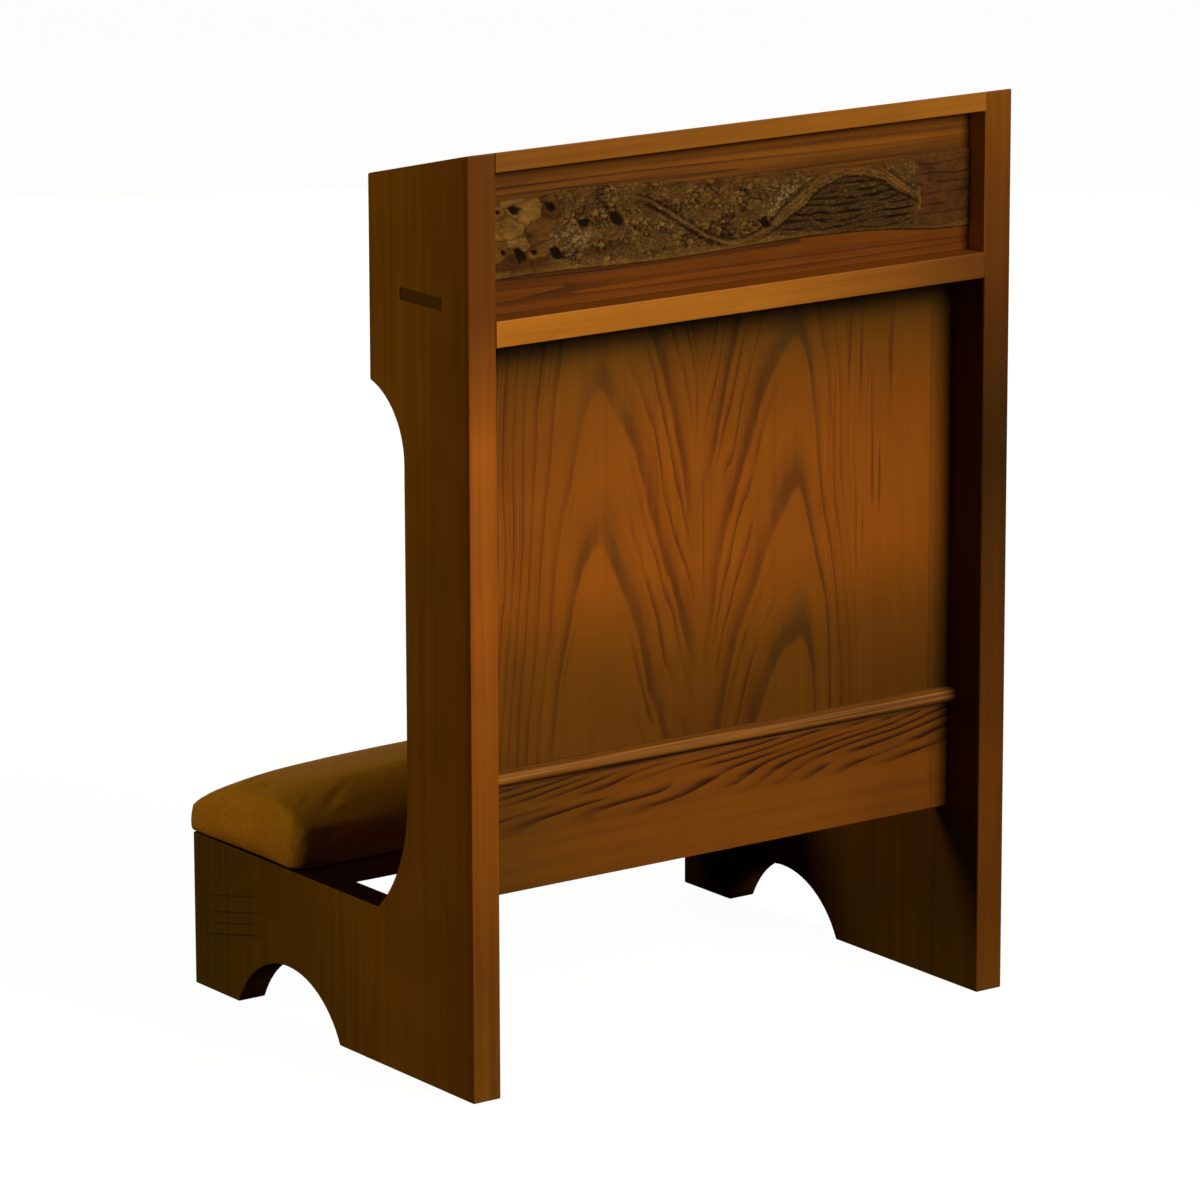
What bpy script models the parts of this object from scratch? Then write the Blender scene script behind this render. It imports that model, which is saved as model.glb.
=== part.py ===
"""A prie-dieu: a church kneeler of oak boards, with a sloping desk, a book shelf and a padded kneeler.

Metres, +Z up. The panelled front faces -Y and the pad is at +Y. The origin is on the floor, at the
middle of the object's box. Depths are measured back from the front edges of the sides, heights from
the floor.
"""

import math

import bmesh
import bpy

# Side panels
WIDTH_OVER_SIDES = 0.610
SIDE_THICKNESS = 0.030
FRONT_HEIGHT = 0.864
DESK_SLOPE = math.radians(13.3)
HEAD_DEPTH = 0.156
HEAD_HEIGHT = 0.224
HEAD_COVE_ANGLE = math.radians(75.0)
NECK_DEPTH = 0.103
FOOT_SWEEP_RADIUS = 0.147
FOOT_SWEEP_ANGLE = math.radians(48.0)
FOOT_LENGTH = 0.466
FOOT_HEIGHT = 0.150
ARCH_SPAN = 0.172
ARCH_RISE = 0.055
ARCH_REAR_LEG = 0.076

# Desk board, frieze and book shelf
DESK_THICKNESS = 0.0175
FRIEZE_SETBACK = 0.024
FRIEZE_THICKNESS = 0.012
CARVING_THICKNESS = 0.005
CARVING_TOP_STRIP = 0.026
CARVING_LEFT_STRIP = 0.030
CARVING_RIGHT_STRIP = 0.016
CARVING_WAVE = 0.003
CARVING_WAVE_COUNT = 2.5
SHELF_DROP = 0.150
SHELF_RAIL_HEIGHT = 0.024
SHELF_RAIL_LIP = 0.010
BOOK_SHELF_THICKNESS = 0.024
BOOK_SHELF_REAR_INSET = 0.004
TENON_THICKNESS = 0.011
TENON_FRONT_SHOULDER = 0.005
TENON_REAR_SHOULDER = 0.0457
TENON_RECESS = 0.0005

# Main panel, ledge and lower rail
PANEL_SETBACK = 0.048
PANEL_THICKNESS = 0.012
GROOVE_DEPTH = 0.008
LEDGE_TOP = 0.291
LEDGE_THICKNESS = 0.013
LEDGE_PROJECTION = 0.013
LEDGE_COVE = 0.006
LEDGE_GROOVE_DEPTH = 0.005
LEDGE_LIP = 0.010
LOWER_RAIL_HEIGHT = 0.0977
LOWER_RAIL_THICKNESS = 0.022

# Kneeler board and what carries it
KNEELER_THICKNESS = 0.020
KNEELER_FRONT_INSET = 0.002
KNEELER_REAR_INSET = 0.004
REAR_RAIL_HEIGHT = 0.045
REAR_RAIL_THICKNESS = 0.022
CLEAT_WIDTH = 0.022
CLEAT_HEIGHT = 0.022
CLEAT_FRONT_INSET = 0.015

# Pad
PAD_DEPTH = 0.186
PAD_SIDE_OVERHANG = 0.0035
PAD_REAR_OVERHANG = 0.004
PAD_EDGE_HEIGHT = 0.030
PAD_CROWN = 0.040
PAD_END_CROWN = 0.022
PAD_DRAW_IN = 0.003
PAD_NOSE_SHARE = 0.6
PAD_SHOULDER_INSET = 0.008
PAD_BASE_INSET = 0.008
PAD_BASE_ROLL = 0.007
PAD_LONG_POWER = 3
PAD_DEEP_POWER = 2
PAD_BOARD_THICKNESS = 0.012
COVER_THICKNESS = 0.0015
COVER_TURN_UNDER = 0.028

# Dowels and screws
DOWEL_RADIUS = 0.004
DOWEL_CHAMFER = 0.001
DOWEL_IN_RAIL = 0.018
DOWEL_COVER = 0.011
DESK_DOWEL_SHARES = (0.2, 0.5, 0.8)
RAIL_DOWEL_SHARES = (0.25, 0.75)
SCREW_RADIUS = 0.002
SCREW_HEAD_RADIUS = 0.004
SCREW_HEAD_HEIGHT = 0.0025
SCREW_POINT = 0.004
SCREW_COVER = 0.014
CLEAT_SCREW_SHARES = (0.15, 0.5, 0.85)
PAD_SCREW_COVER = 0.003
PAD_SCREW_LONG_SHARE = 0.6
PAD_SCREW_DEEP_SHARES = (0.27, 0.73)

# Clearances and eased edges
TOUCH = 0.0003
PLAY = 0.001
SIDE_EASE = 0.0015
BOARD_EASE = 0.001

# Facets
ARC_STEPS = 14
NOSE_STEPS = 10
SMALL_COVE_STEPS = 6
EASE_STEPS = 2
TURN_STEPS = 16
PAD_CELLS_LONG = 8
PAD_CELLS_DEEP = 4
PAD_CELL_CROWDING = 3.0
CARVING_STEPS = 24
SHARP_EDGE = math.radians(30)
SHARP_TURNED_EDGE = math.radians(40)
SHARP_PAD_EDGE = math.radians(60)
FLAT_JOIN = math.radians(0.5)
WELD = 1e-6
TURN_WELD = 1e-5
MOST_EASE_SHARE = 0.4

# Places that follow from the sizes above
FRONT = -(FOOT_LENGTH + PAD_REAR_OVERHANG) / 2
INNER = WIDTH_OVER_SIDES / 2 - SIDE_THICKNESS
BOARD_LENGTH = 2 * (INNER - TOUCH)
PANEL_LENGTH = 2 * (INNER + GROOVE_DEPTH - PLAY)
HEAD_BOTTOM = FRONT_HEIGHT - HEAD_HEIGHT
SHELF_RAIL_TOP = FRONT_HEIGHT - SHELF_DROP
RAIL_BOTTOM = SHELF_RAIL_TOP - SHELF_RAIL_HEIGHT
PANEL_BACK = PANEL_SETBACK + PANEL_THICKNESS
FRIEZE_BACK = FRIEZE_SETBACK + FRIEZE_THICKNESS
PAD_REAR = FOOT_LENGTH + PAD_REAR_OVERHANG
PAD_FRONT = PAD_REAR - PAD_DEPTH
PAD_BASE = FOOT_HEIGHT + TOUCH
PAD_FLAT_INSET = PAD_BASE_INSET + PAD_BASE_ROLL
PAD_BOARD_INSET = PAD_FLAT_INSET + PAD_DRAW_IN + TOUCH
KNEELER_BOTTOM = FOOT_HEIGHT - KNEELER_THICKNESS
KNEELER_REAR = FOOT_LENGTH - KNEELER_REAR_INSET
CARRIER_TOP = KNEELER_BOTTOM - TOUCH
REAR_RAIL_FRONT = KNEELER_REAR - REAR_RAIL_THICKNESS
HANDS = (("left", -1), ("right", 1))

# Overlap of a cutter past the face that it opens
OVERRUN = 0.001

for old in list(bpy.data.objects):
    bpy.data.objects.remove(old, do_unlink=True)

parts = bpy.data.collections.new("prie_dieu")
cutters = bpy.data.collections.new("prie_dieu_cutters")
cutters.hide_render = True
for collection in (parts, cutters):
    bpy.context.scene.collection.children.link(collection)
root = bpy.data.objects.new("prie_dieu", None)
parts.objects.link(root)


def finish(name, hex_colour, roughness, metallic=0.0):
    """A plain Principled material from an sRGB hex colour."""
    linear = []
    for start in (0, 2, 4):
        value = int(hex_colour[start : start + 2], 16) / 255
        linear.append(value / 12.92 if value <= 0.04045 else ((value + 0.055) / 1.055) ** 2.4)
    material = bpy.data.materials.new(name)
    material.use_nodes = True
    shader = material.node_tree.nodes["Principled BSDF"]
    shader.inputs["Base Color"].default_value = (*linear, 1.0)
    shader.inputs["Roughness"].default_value = roughness
    shader.inputs["Metallic"].default_value = metallic
    return material


OAK = finish("stained oak", "8A5424", 0.42)
OAK_VENEER = finish("stained oak veneer", "935A26", 0.42)
OAK_CARVED = finish("carved oak", "4A3420", 0.70)
OAK_INSIDE = finish("oak inside the frame", "6E421C", 0.55)
BEECH = finish("beech dowel", "C9A16E", 0.60)
PLYWOOD = finish("birch plywood", "C8A878", 0.65)
FOAM = finish("polyurethane foam", "D8C89A", 0.95)
VINYL = finish("tan vinyl", "7A4A1C", 0.45)
STEEL = finish("zinc plated steel", "B8B8B4", 0.35, 1.0)


# Building blocks
def add(obj, material, smooth_angle=None):
    """Puts a finished object among the parts, with its material."""
    obj.data.materials.clear()
    obj.data.materials.append(material)
    parts.objects.link(obj)
    obj.parent = root
    if smooth_angle is not None:
        obj.data.shade_smooth()
        obj.data.set_sharp_from_angle(angle=smooth_angle)
    return obj


def evaluated_mesh(obj):
    """The object's mesh with its modifiers or curve settings worked out; the object is removed."""
    bpy.context.scene.collection.objects.link(obj)
    bpy.context.view_layer.update()
    graph = bpy.context.evaluated_depsgraph_get()
    mesh = bpy.data.meshes.new_from_object(obj.evaluated_get(graph))
    bpy.data.objects.remove(obj, do_unlink=True)
    return mesh


def arc(centre, radii, start, end, steps=ARC_STEPS):
    """Points on an ellipse from one angle to another, both ends included."""
    angles = [start + (end - start) * step / steps for step in range(steps + 1)]
    return [(centre[0] + radii[0] * math.cos(a), centre[1] + radii[1] * math.sin(a)) for a in angles]


def eased(corners, rounded=None):
    """An outline with its corners rounded a little: all of them, or those of the given numbers."""
    points = []
    for index, (x, y) in enumerate(corners):
        if rounded is not None and index not in rounded:
            points.append((x, y))
            continue
        ends = []
        for other in (corners[index - 1], corners[(index + 1) % len(corners)]):
            reach = math.hypot(other[0] - x, other[1] - y)
            share = min(BOARD_EASE / reach, MOST_EASE_SHARE)
            ends.append((x + share * (other[0] - x), y + share * (other[1] - y)))
        for step in range(EASE_STEPS + 1):
            t = step / EASE_STEPS
            weights = ((1 - t) ** 2, 2 * t * (1 - t), t**2)
            curve = (ends[0], (x, y), ends[1])
            points.append(tuple(sum(w * p[axis] for w, p in zip(weights, curve)) for axis in (0, 1)))
    return points


def drawn_mesh(name, outline, thickness):
    """A flat outline, in its own X and Y, filled and thickened evenly along Z."""
    curve = bpy.data.curves.new(name, "CURVE")
    curve.dimensions = "2D"
    curve.fill_mode = "BOTH"
    curve.extrude = thickness / 2
    spline = curve.splines.new("POLY")
    spline.points.add(len(outline) - 1)
    for point, place in zip(spline.points, outline):
        point.co = (*place, 0.0, 1.0)
    spline.use_cyclic_u = True
    mesh = evaluated_mesh(bpy.data.objects.new(name, curve))
    shape = bmesh.new()
    shape.from_mesh(mesh)
    bmesh.ops.remove_doubles(shape, verts=shape.verts, dist=WELD)
    bmesh.ops.dissolve_limit(shape, angle_limit=FLAT_JOIN, verts=shape.verts, edges=shape.edges)
    bmesh.ops.recalc_face_normals(shape, faces=shape.faces)
    shape.to_mesh(mesh)
    shape.free()
    return mesh


def board(name, outline, length, material, centre_x=0.0):
    """A board whose outline, in depth and height, is drawn out along X."""
    mesh = drawn_mesh(name, [(FRONT + depth, height) for depth, height in outline], length)
    obj = bpy.data.objects.new(name, mesh)
    obj.rotation_euler = (math.pi / 2, 0.0, math.pi / 2)
    obj.location.x = centre_x
    return add(obj, material, SHARP_EDGE)


def box_mesh(name, low, high):
    """A box between two corners given as X, depth and height."""
    shape = bmesh.new()
    bmesh.ops.create_cube(shape, size=1.0)
    for vert in shape.verts:
        for axis in range(3):
            vert.co[axis] = low[axis] if vert.co[axis] < 0 else high[axis]
        vert.co.y += FRONT
    mesh = bpy.data.meshes.new(name)
    shape.to_mesh(mesh)
    shape.free()
    return mesh


def turned_object(name, profile):
    """A turned piece: a profile of radius and height, top to bottom, swept round Z."""
    mesh = bpy.data.meshes.new(name)
    edges = [(index, index + 1) for index in range(len(profile) - 1)]
    mesh.from_pydata([(radius, 0.0, height) for radius, height in profile], edges, [])
    obj = bpy.data.objects.new(name, mesh)
    sweep = obj.modifiers.new("turn", "SCREW")
    sweep.steps = TURN_STEPS
    sweep.render_steps = TURN_STEPS
    sweep.use_merge_vertices = True
    sweep.merge_threshold = TURN_WELD
    return obj


def cutter(obj):
    """Puts an object among the cutters."""
    obj.display_type = "WIRE"
    obj.hide_render = True
    cutters.objects.link(obj)
    return obj


def cut(piece, tool):
    """Takes a cutter's shape out of a piece."""
    modifier = piece.modifiers.new(tool.name, "BOOLEAN")
    modifier.operation = "DIFFERENCE"
    modifier.solver = "EXACT"
    modifier.object = tool


def cut_box(piece, name, low, high):
    cut(piece, cutter(bpy.data.objects.new(name, box_mesh(name, low, high))))


def aimed(obj, axis, x, depth, height):
    """Sets a turned piece's +Z along +X, -X or -Z and its origin at a point."""
    turns = {"+x": (0.0, math.pi / 2, 0.0), "-x": (0.0, -math.pi / 2, 0.0), "-z": (math.pi, 0.0, 0.0)}
    obj.rotation_euler = turns[axis]
    obj.location = (x, FRONT + depth, height)
    return obj


# Side panels
def desk_height(depth, below=0.0):
    """Height of the desk's sloping top at a depth, or of a face parallel to it that lies below it."""
    return FRONT_HEIGHT - depth * math.tan(DESK_SLOPE) - below / math.cos(DESK_SLOPE)


def side_outline():
    cove_radius = (HEAD_DEPTH - NECK_DEPTH) / (1 - math.cos(HEAD_COVE_ANGLE))
    cove_height = HEAD_BOTTOM - cove_radius * math.sin(HEAD_COVE_ANGLE)
    cove_centre = (NECK_DEPTH + cove_radius, cove_height)
    cove = arc(cove_centre, (cove_radius, cove_radius), math.pi - HEAD_COVE_ANGLE, math.pi)
    sweep_height = FOOT_HEIGHT + FOOT_SWEEP_RADIUS * math.sin(FOOT_SWEEP_ANGLE)
    sweep_centre = (NECK_DEPTH + FOOT_SWEEP_RADIUS, sweep_height)
    sweep_radii = (FOOT_SWEEP_RADIUS, FOOT_SWEEP_RADIUS)
    sweep = arc(sweep_centre, sweep_radii, math.pi, math.pi + FOOT_SWEEP_ANGLE)
    arch_radius = ((ARCH_SPAN / 2) ** 2 + ARCH_RISE**2) / (2 * ARCH_RISE)
    arch_centre = (FOOT_LENGTH - ARCH_REAR_LEG - ARCH_SPAN / 2, ARCH_RISE - arch_radius)
    arch_half = math.atan2(ARCH_SPAN / 2, arch_radius - ARCH_RISE)
    arch_ends = (math.pi / 2 - arch_half, math.pi / 2 + arch_half)
    arch = arc(arch_centre, (arch_radius, arch_radius), *arch_ends, 2 * ARC_STEPS)
    outline = [(0.0, 0.0), (0.0, FRONT_HEIGHT), (HEAD_DEPTH, desk_height(HEAD_DEPTH))]
    outline += cove
    outline += sweep
    outline += [(FOOT_LENGTH, FOOT_HEIGHT), (FOOT_LENGTH, 0.0)]
    return outline + arch


def make_side(hand, sign):
    middle = sign * (WIDTH_OVER_SIDES - SIDE_THICKNESS) / 2
    side = board(f"{hand}_side_panel", side_outline(), SIDE_THICKNESS, OAK, middle)
    ease = side.modifiers.new("eased edges", "BEVEL")
    ease.width = SIDE_EASE
    ease.segments = EASE_STEPS
    ease.limit_method = "ANGLE"
    ease.angle_limit = SHARP_EDGE
    return side


sides = {hand: make_side(hand, sign) for hand, sign in HANDS}


def cut_side_box(hand, sign, name, reach, depths, heights):
    """A groove or mortise, cut into a side from its inner face."""
    xs = sorted((sign * (INNER - OVERRUN), sign * (INNER + reach)))
    low = (xs[0], depths[0], heights[0])
    high = (xs[1], depths[1], heights[1])
    cut_box(sides[hand], f"{hand}_{name}", low, high)


# Dowels and screws
def add_dowel(name, pieces, depth, height, sign):
    """A dowel across the joint between a side and a board that meets its inner face."""
    in_side = SIDE_THICKNESS - DOWEL_COVER - PLAY

    def profile(room, end_room):
        top = in_side + end_room
        bottom = -DOWEL_IN_RAIL - end_room
        radius = DOWEL_RADIUS + room
        flat = radius - DOWEL_CHAMFER
        upper = [(0.0, top), (flat, top), (radius, top - DOWEL_CHAMFER)]
        return upper + [(radius, bottom + DOWEL_CHAMFER), (flat, bottom), (0.0, bottom)]

    axis = "+x" if sign > 0 else "-x"
    x = sign * INNER
    hole = cutter(aimed(turned_object(f"{name}_hole", profile(TOUCH, PLAY)), axis, x, depth, height))
    for piece in pieces:
        cut(piece, hole)
    dowel = aimed(turned_object(name, profile(0.0, 0.0)), axis, x, depth, height)
    return add(dowel, BEECH, SHARP_TURNED_EDGE)


def dowel_row(name, piece, places):
    """Dowels from both ends of a board into the sides, at the given depths and heights."""
    for hand, sign in HANDS:
        for number, (depth, height) in enumerate(places, 1):
            add_dowel(f"{name}_dowel_{hand}_{number}", (sides[hand], piece), depth, height, sign)


def add_screw(name, pieces, axis, x, depth, height, length):
    """A countersunk screw; its head's face is at the point given, and it points against the axis."""

    def profile(room):
        head = SCREW_HEAD_RADIUS + room
        shank = SCREW_RADIUS + room
        neck = -SCREW_HEAD_HEIGHT - room
        tip = -length - room
        top = OVERRUN if room else 0.0
        rim = [(head, top), (head, 0.0)] if room else [(head, 0.0)]
        return [(0.0, top), *rim, (shank, neck), (shank, tip + SCREW_POINT), (0.0, tip)]

    hole = cutter(aimed(turned_object(f"{name}_hole", profile(TOUCH)), axis, x, depth, height))
    for piece in pieces:
        cut(piece, hole)
    screw = aimed(turned_object(name, profile(0.0)), axis, x, depth, height)
    return add(screw, STEEL, SHARP_TURNED_EDGE)


# Desk board
desk_outline = [
    (0.0, desk_height(0.0)),
    (HEAD_DEPTH, desk_height(HEAD_DEPTH)),
    (HEAD_DEPTH, desk_height(HEAD_DEPTH, DESK_THICKNESS)),
    (0.0, desk_height(0.0, DESK_THICKNESS)),
]
desk_board = board("desk_board", eased(desk_outline), BOARD_LENGTH, OAK)
desk_dowel_depths = [HEAD_DEPTH * share for share in DESK_DOWEL_SHARES]
desk_dowel_places = [(depth, desk_height(depth, DESK_THICKNESS / 2)) for depth in desk_dowel_depths]
dowel_row("desk", desk_board, desk_dowel_places)

# Shelf rail, grooved underneath for the main panel
rail_back = PANEL_BACK + SHELF_RAIL_LIP
rail_groove_top = RAIL_BOTTOM + GROOVE_DEPTH
rail_outline = [
    (0.0, SHELF_RAIL_TOP),
    (0.0, RAIL_BOTTOM),
    (PANEL_SETBACK - TOUCH, RAIL_BOTTOM),
    (PANEL_SETBACK - TOUCH, rail_groove_top),
    (PANEL_BACK + TOUCH, rail_groove_top),
    (PANEL_BACK + TOUCH, RAIL_BOTTOM),
    (rail_back, RAIL_BOTTOM),
    (rail_back, SHELF_RAIL_TOP),
]
shelf_rail = board("shelf_rail", eased(rail_outline, (0, 1)), BOARD_LENGTH, OAK)
rail_dowel_height = (SHELF_RAIL_TOP + RAIL_BOTTOM) / 2
rail_dowel_depths = [PANEL_SETBACK * share for share in RAIL_DOWEL_SHARES]
dowel_row("shelf_rail", shelf_rail, [(depth, rail_dowel_height) for depth in rail_dowel_depths])

# Frieze panel, held in grooves in the sides, and the carved strip on its face
frieze_bottom = SHELF_RAIL_TOP + TOUCH
frieze_front_top = desk_height(FRIEZE_SETBACK, DESK_THICKNESS) - TOUCH
frieze_outline = [
    (FRIEZE_SETBACK, frieze_bottom),
    (FRIEZE_BACK, frieze_bottom),
    (FRIEZE_BACK, desk_height(FRIEZE_BACK, DESK_THICKNESS) - TOUCH),
    (FRIEZE_SETBACK, frieze_front_top),
]
frieze_panel = board("frieze_panel", frieze_outline, PANEL_LENGTH, OAK)
for hand, sign in HANDS:
    depths = (FRIEZE_SETBACK - TOUCH, FRIEZE_BACK + TOUCH)
    heights = (frieze_bottom - PLAY, frieze_front_top + PLAY)
    cut_side_box(hand, sign, "frieze_groove", GROOVE_DEPTH, depths, heights)


def make_carving():
    """A strip with wavy long edges, deeper at its right end."""
    half = BOARD_LENGTH / 2
    edge_low = []
    edge_high = []
    for step in range(CARVING_STEPS + 1):
        share = step / CARVING_STEPS
        wave = CARVING_WAVE * math.sin(2 * math.pi * CARVING_WAVE_COUNT * share)
        strip = CARVING_LEFT_STRIP + (CARVING_RIGHT_STRIP - CARVING_LEFT_STRIP) * share
        x = -half + 2 * half * share
        edge_low.append((x, SHELF_RAIL_TOP + strip + wave))
        edge_high.append((x, frieze_front_top - CARVING_TOP_STRIP + wave))
    mesh = drawn_mesh("frieze_carving", edge_low + edge_high[::-1], CARVING_THICKNESS)
    carving = bpy.data.objects.new("frieze_carving", mesh)
    carving.rotation_euler.x = math.pi / 2
    carving.location.y = FRONT + FRIEZE_SETBACK - TOUCH - CARVING_THICKNESS / 2
    return add(carving, OAK_CARVED)


make_carving()

# Book shelf, with a through tenon at each end
shelf_front = FRIEZE_BACK + TOUCH
shelf_bottom = SHELF_RAIL_TOP + TOUCH
shelf_rear = HEAD_DEPTH - BOOK_SHELF_REAR_INSET
shelf_middle = shelf_bottom + BOOK_SHELF_THICKNESS / 2
tenon_depths = (shelf_front + TENON_FRONT_SHOULDER, shelf_rear - TENON_REAR_SHOULDER)
tenon_heights = (shelf_middle - TENON_THICKNESS / 2, shelf_middle + TENON_THICKNESS / 2)
shelf_outline = [
    (shelf_front, shelf_bottom),
    (shelf_rear, shelf_bottom),
    (shelf_rear, shelf_bottom + BOOK_SHELF_THICKNESS),
    (shelf_front, shelf_bottom + BOOK_SHELF_THICKNESS),
]
book_shelf = board("book_shelf", eased(shelf_outline), BOARD_LENGTH, OAK_INSIDE)
for hand, sign in HANDS:
    tenon_xs = sorted((sign * (INNER - PLAY), sign * (WIDTH_OVER_SIDES / 2 - TENON_RECESS)))
    low = (tenon_xs[0], tenon_depths[0], tenon_heights[0])
    high = (tenon_xs[1], tenon_depths[1], tenon_heights[1])
    tenon = cutter(bpy.data.objects.new(f"{hand}_tenon", box_mesh(f"{hand}_tenon", low, high)))
    join = book_shelf.modifiers.new(f"{hand} tenon", "BOOLEAN")
    join.operation = "UNION"
    join.solver = "EXACT"
    join.object = tenon
    depths = (tenon_depths[0] - TOUCH, tenon_depths[1] + TOUCH)
    heights = (tenon_heights[0] - TOUCH, tenon_heights[1] + TOUCH)
    cut_side_box(hand, sign, "mortise", SIDE_THICKNESS + OVERRUN, depths, heights)

# Main panel, in grooves in the sides, the shelf rail and the ledge
panel_bottom = LEDGE_TOP - LEDGE_GROOVE_DEPTH + PLAY
panel_top = rail_groove_top - PLAY
panel_outline = [
    (PANEL_SETBACK, panel_bottom),
    (PANEL_BACK, panel_bottom),
    (PANEL_BACK, panel_top),
    (PANEL_SETBACK, panel_top),
]
main_panel = board("main_panel", panel_outline, PANEL_LENGTH, OAK_VENEER)
for hand, sign in HANDS:
    depths = (PANEL_SETBACK - TOUCH, PANEL_BACK + TOUCH)
    heights = (panel_bottom - PLAY, panel_top + PLAY)
    cut_side_box(hand, sign, "panel_groove", GROOVE_DEPTH, depths, heights)

# Ledge moulding: a round nose over a small cove, grooved on top for the main panel
ledge_back = PANEL_BACK + LEDGE_LIP
ledge_bottom = LEDGE_TOP - LEDGE_THICKNESS - LEDGE_COVE
nose_height = LEDGE_THICKNESS / 2
nose_reach = min(nose_height, LEDGE_PROJECTION - LEDGE_COVE)
nose_centre = (PANEL_SETBACK - LEDGE_PROJECTION + nose_reach, LEDGE_TOP - nose_height)
small_cove_centre = (PANEL_SETBACK - LEDGE_COVE, ledge_bottom)
ledge_outline = [
    (PANEL_SETBACK - TOUCH, LEDGE_TOP),
    (PANEL_SETBACK - TOUCH, LEDGE_TOP - LEDGE_GROOVE_DEPTH),
    (PANEL_BACK + TOUCH, LEDGE_TOP - LEDGE_GROOVE_DEPTH),
    (PANEL_BACK + TOUCH, LEDGE_TOP),
    (ledge_back, LEDGE_TOP),
    (ledge_back, ledge_bottom),
    *arc(small_cove_centre, (LEDGE_COVE, LEDGE_COVE), 0.0, math.pi / 2, SMALL_COVE_STEPS),
    *arc(nose_centre, (nose_reach, nose_height), 1.5 * math.pi, 0.5 * math.pi, NOSE_STEPS),
]
ledge_moulding = board("ledge_moulding", ledge_outline, BOARD_LENGTH, OAK)

# Lower rail
lower_rail_top = ledge_bottom - TOUCH
lower_rail_bottom = lower_rail_top - LOWER_RAIL_HEIGHT
lower_rail_back = PANEL_SETBACK + LOWER_RAIL_THICKNESS
lower_rail_outline = [
    (PANEL_SETBACK, lower_rail_bottom),
    (lower_rail_back, lower_rail_bottom),
    (lower_rail_back, lower_rail_top),
    (PANEL_SETBACK, lower_rail_top),
]
lower_rail = board("lower_rail", eased(lower_rail_outline), BOARD_LENGTH, OAK)
lower_rail_middle = PANEL_SETBACK + LOWER_RAIL_THICKNESS / 2
lower_rail_heights = [lower_rail_bottom + LOWER_RAIL_HEIGHT * share for share in RAIL_DOWEL_SHARES]
dowel_row("lower_rail", lower_rail, [(lower_rail_middle, height) for height in lower_rail_heights])

# Kneeler board, flush with the tops of the feet
kneeler_outline = [
    (PAD_FRONT + KNEELER_FRONT_INSET, KNEELER_BOTTOM),
    (KNEELER_REAR, KNEELER_BOTTOM),
    (KNEELER_REAR, FOOT_HEIGHT),
    (PAD_FRONT + KNEELER_FRONT_INSET, FOOT_HEIGHT),
]
kneeler_board = board("kneeler_board", eased(kneeler_outline), BOARD_LENGTH, OAK)

# Rear rail under the kneeler board
rear_rail_outline = [
    (REAR_RAIL_FRONT, CARRIER_TOP - REAR_RAIL_HEIGHT),
    (KNEELER_REAR, CARRIER_TOP - REAR_RAIL_HEIGHT),
    (KNEELER_REAR, CARRIER_TOP),
    (REAR_RAIL_FRONT, CARRIER_TOP),
]
rear_rail = board("kneeler_rear_rail", eased(rear_rail_outline), BOARD_LENGTH, OAK)
rear_rail_middle = REAR_RAIL_FRONT + REAR_RAIL_THICKNESS / 2
rear_rail_heights = [CARRIER_TOP - REAR_RAIL_HEIGHT * share for share in RAIL_DOWEL_SHARES]
dowel_row("rear_rail", rear_rail, [(rear_rail_middle, height) for height in rear_rail_heights])

# Cleats under the ends of the kneeler board, each screwed to its side
cleat_front = PAD_FRONT + KNEELER_FRONT_INSET + CLEAT_FRONT_INSET
cleat_rear = REAR_RAIL_FRONT - TOUCH
cleat_outline = [
    (cleat_front, CARRIER_TOP - CLEAT_HEIGHT),
    (cleat_rear, CARRIER_TOP - CLEAT_HEIGHT),
    (cleat_rear, CARRIER_TOP),
    (cleat_front, CARRIER_TOP),
]
cleat_screw_depths = [cleat_front + (cleat_rear - cleat_front) * share for share in CLEAT_SCREW_SHARES]
for hand, sign in HANDS:
    face = INNER - TOUCH - CLEAT_WIDTH
    middle = sign * (face + CLEAT_WIDTH / 2)
    cleat = board(f"{hand}_kneeler_cleat", eased(cleat_outline), CLEAT_WIDTH, OAK_INSIDE, middle)
    axis = "-x" if sign > 0 else "+x"
    length = CLEAT_WIDTH + TOUCH + SIDE_THICKNESS - SCREW_COVER
    height = CARRIER_TOP - CLEAT_HEIGHT / 2
    for number, depth in enumerate(cleat_screw_depths, 1):
        name = f"cleat_screw_{hand}_{number}"
        add_screw(name, (cleat, sides[hand]), axis, sign * face, depth, height, length)


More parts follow.
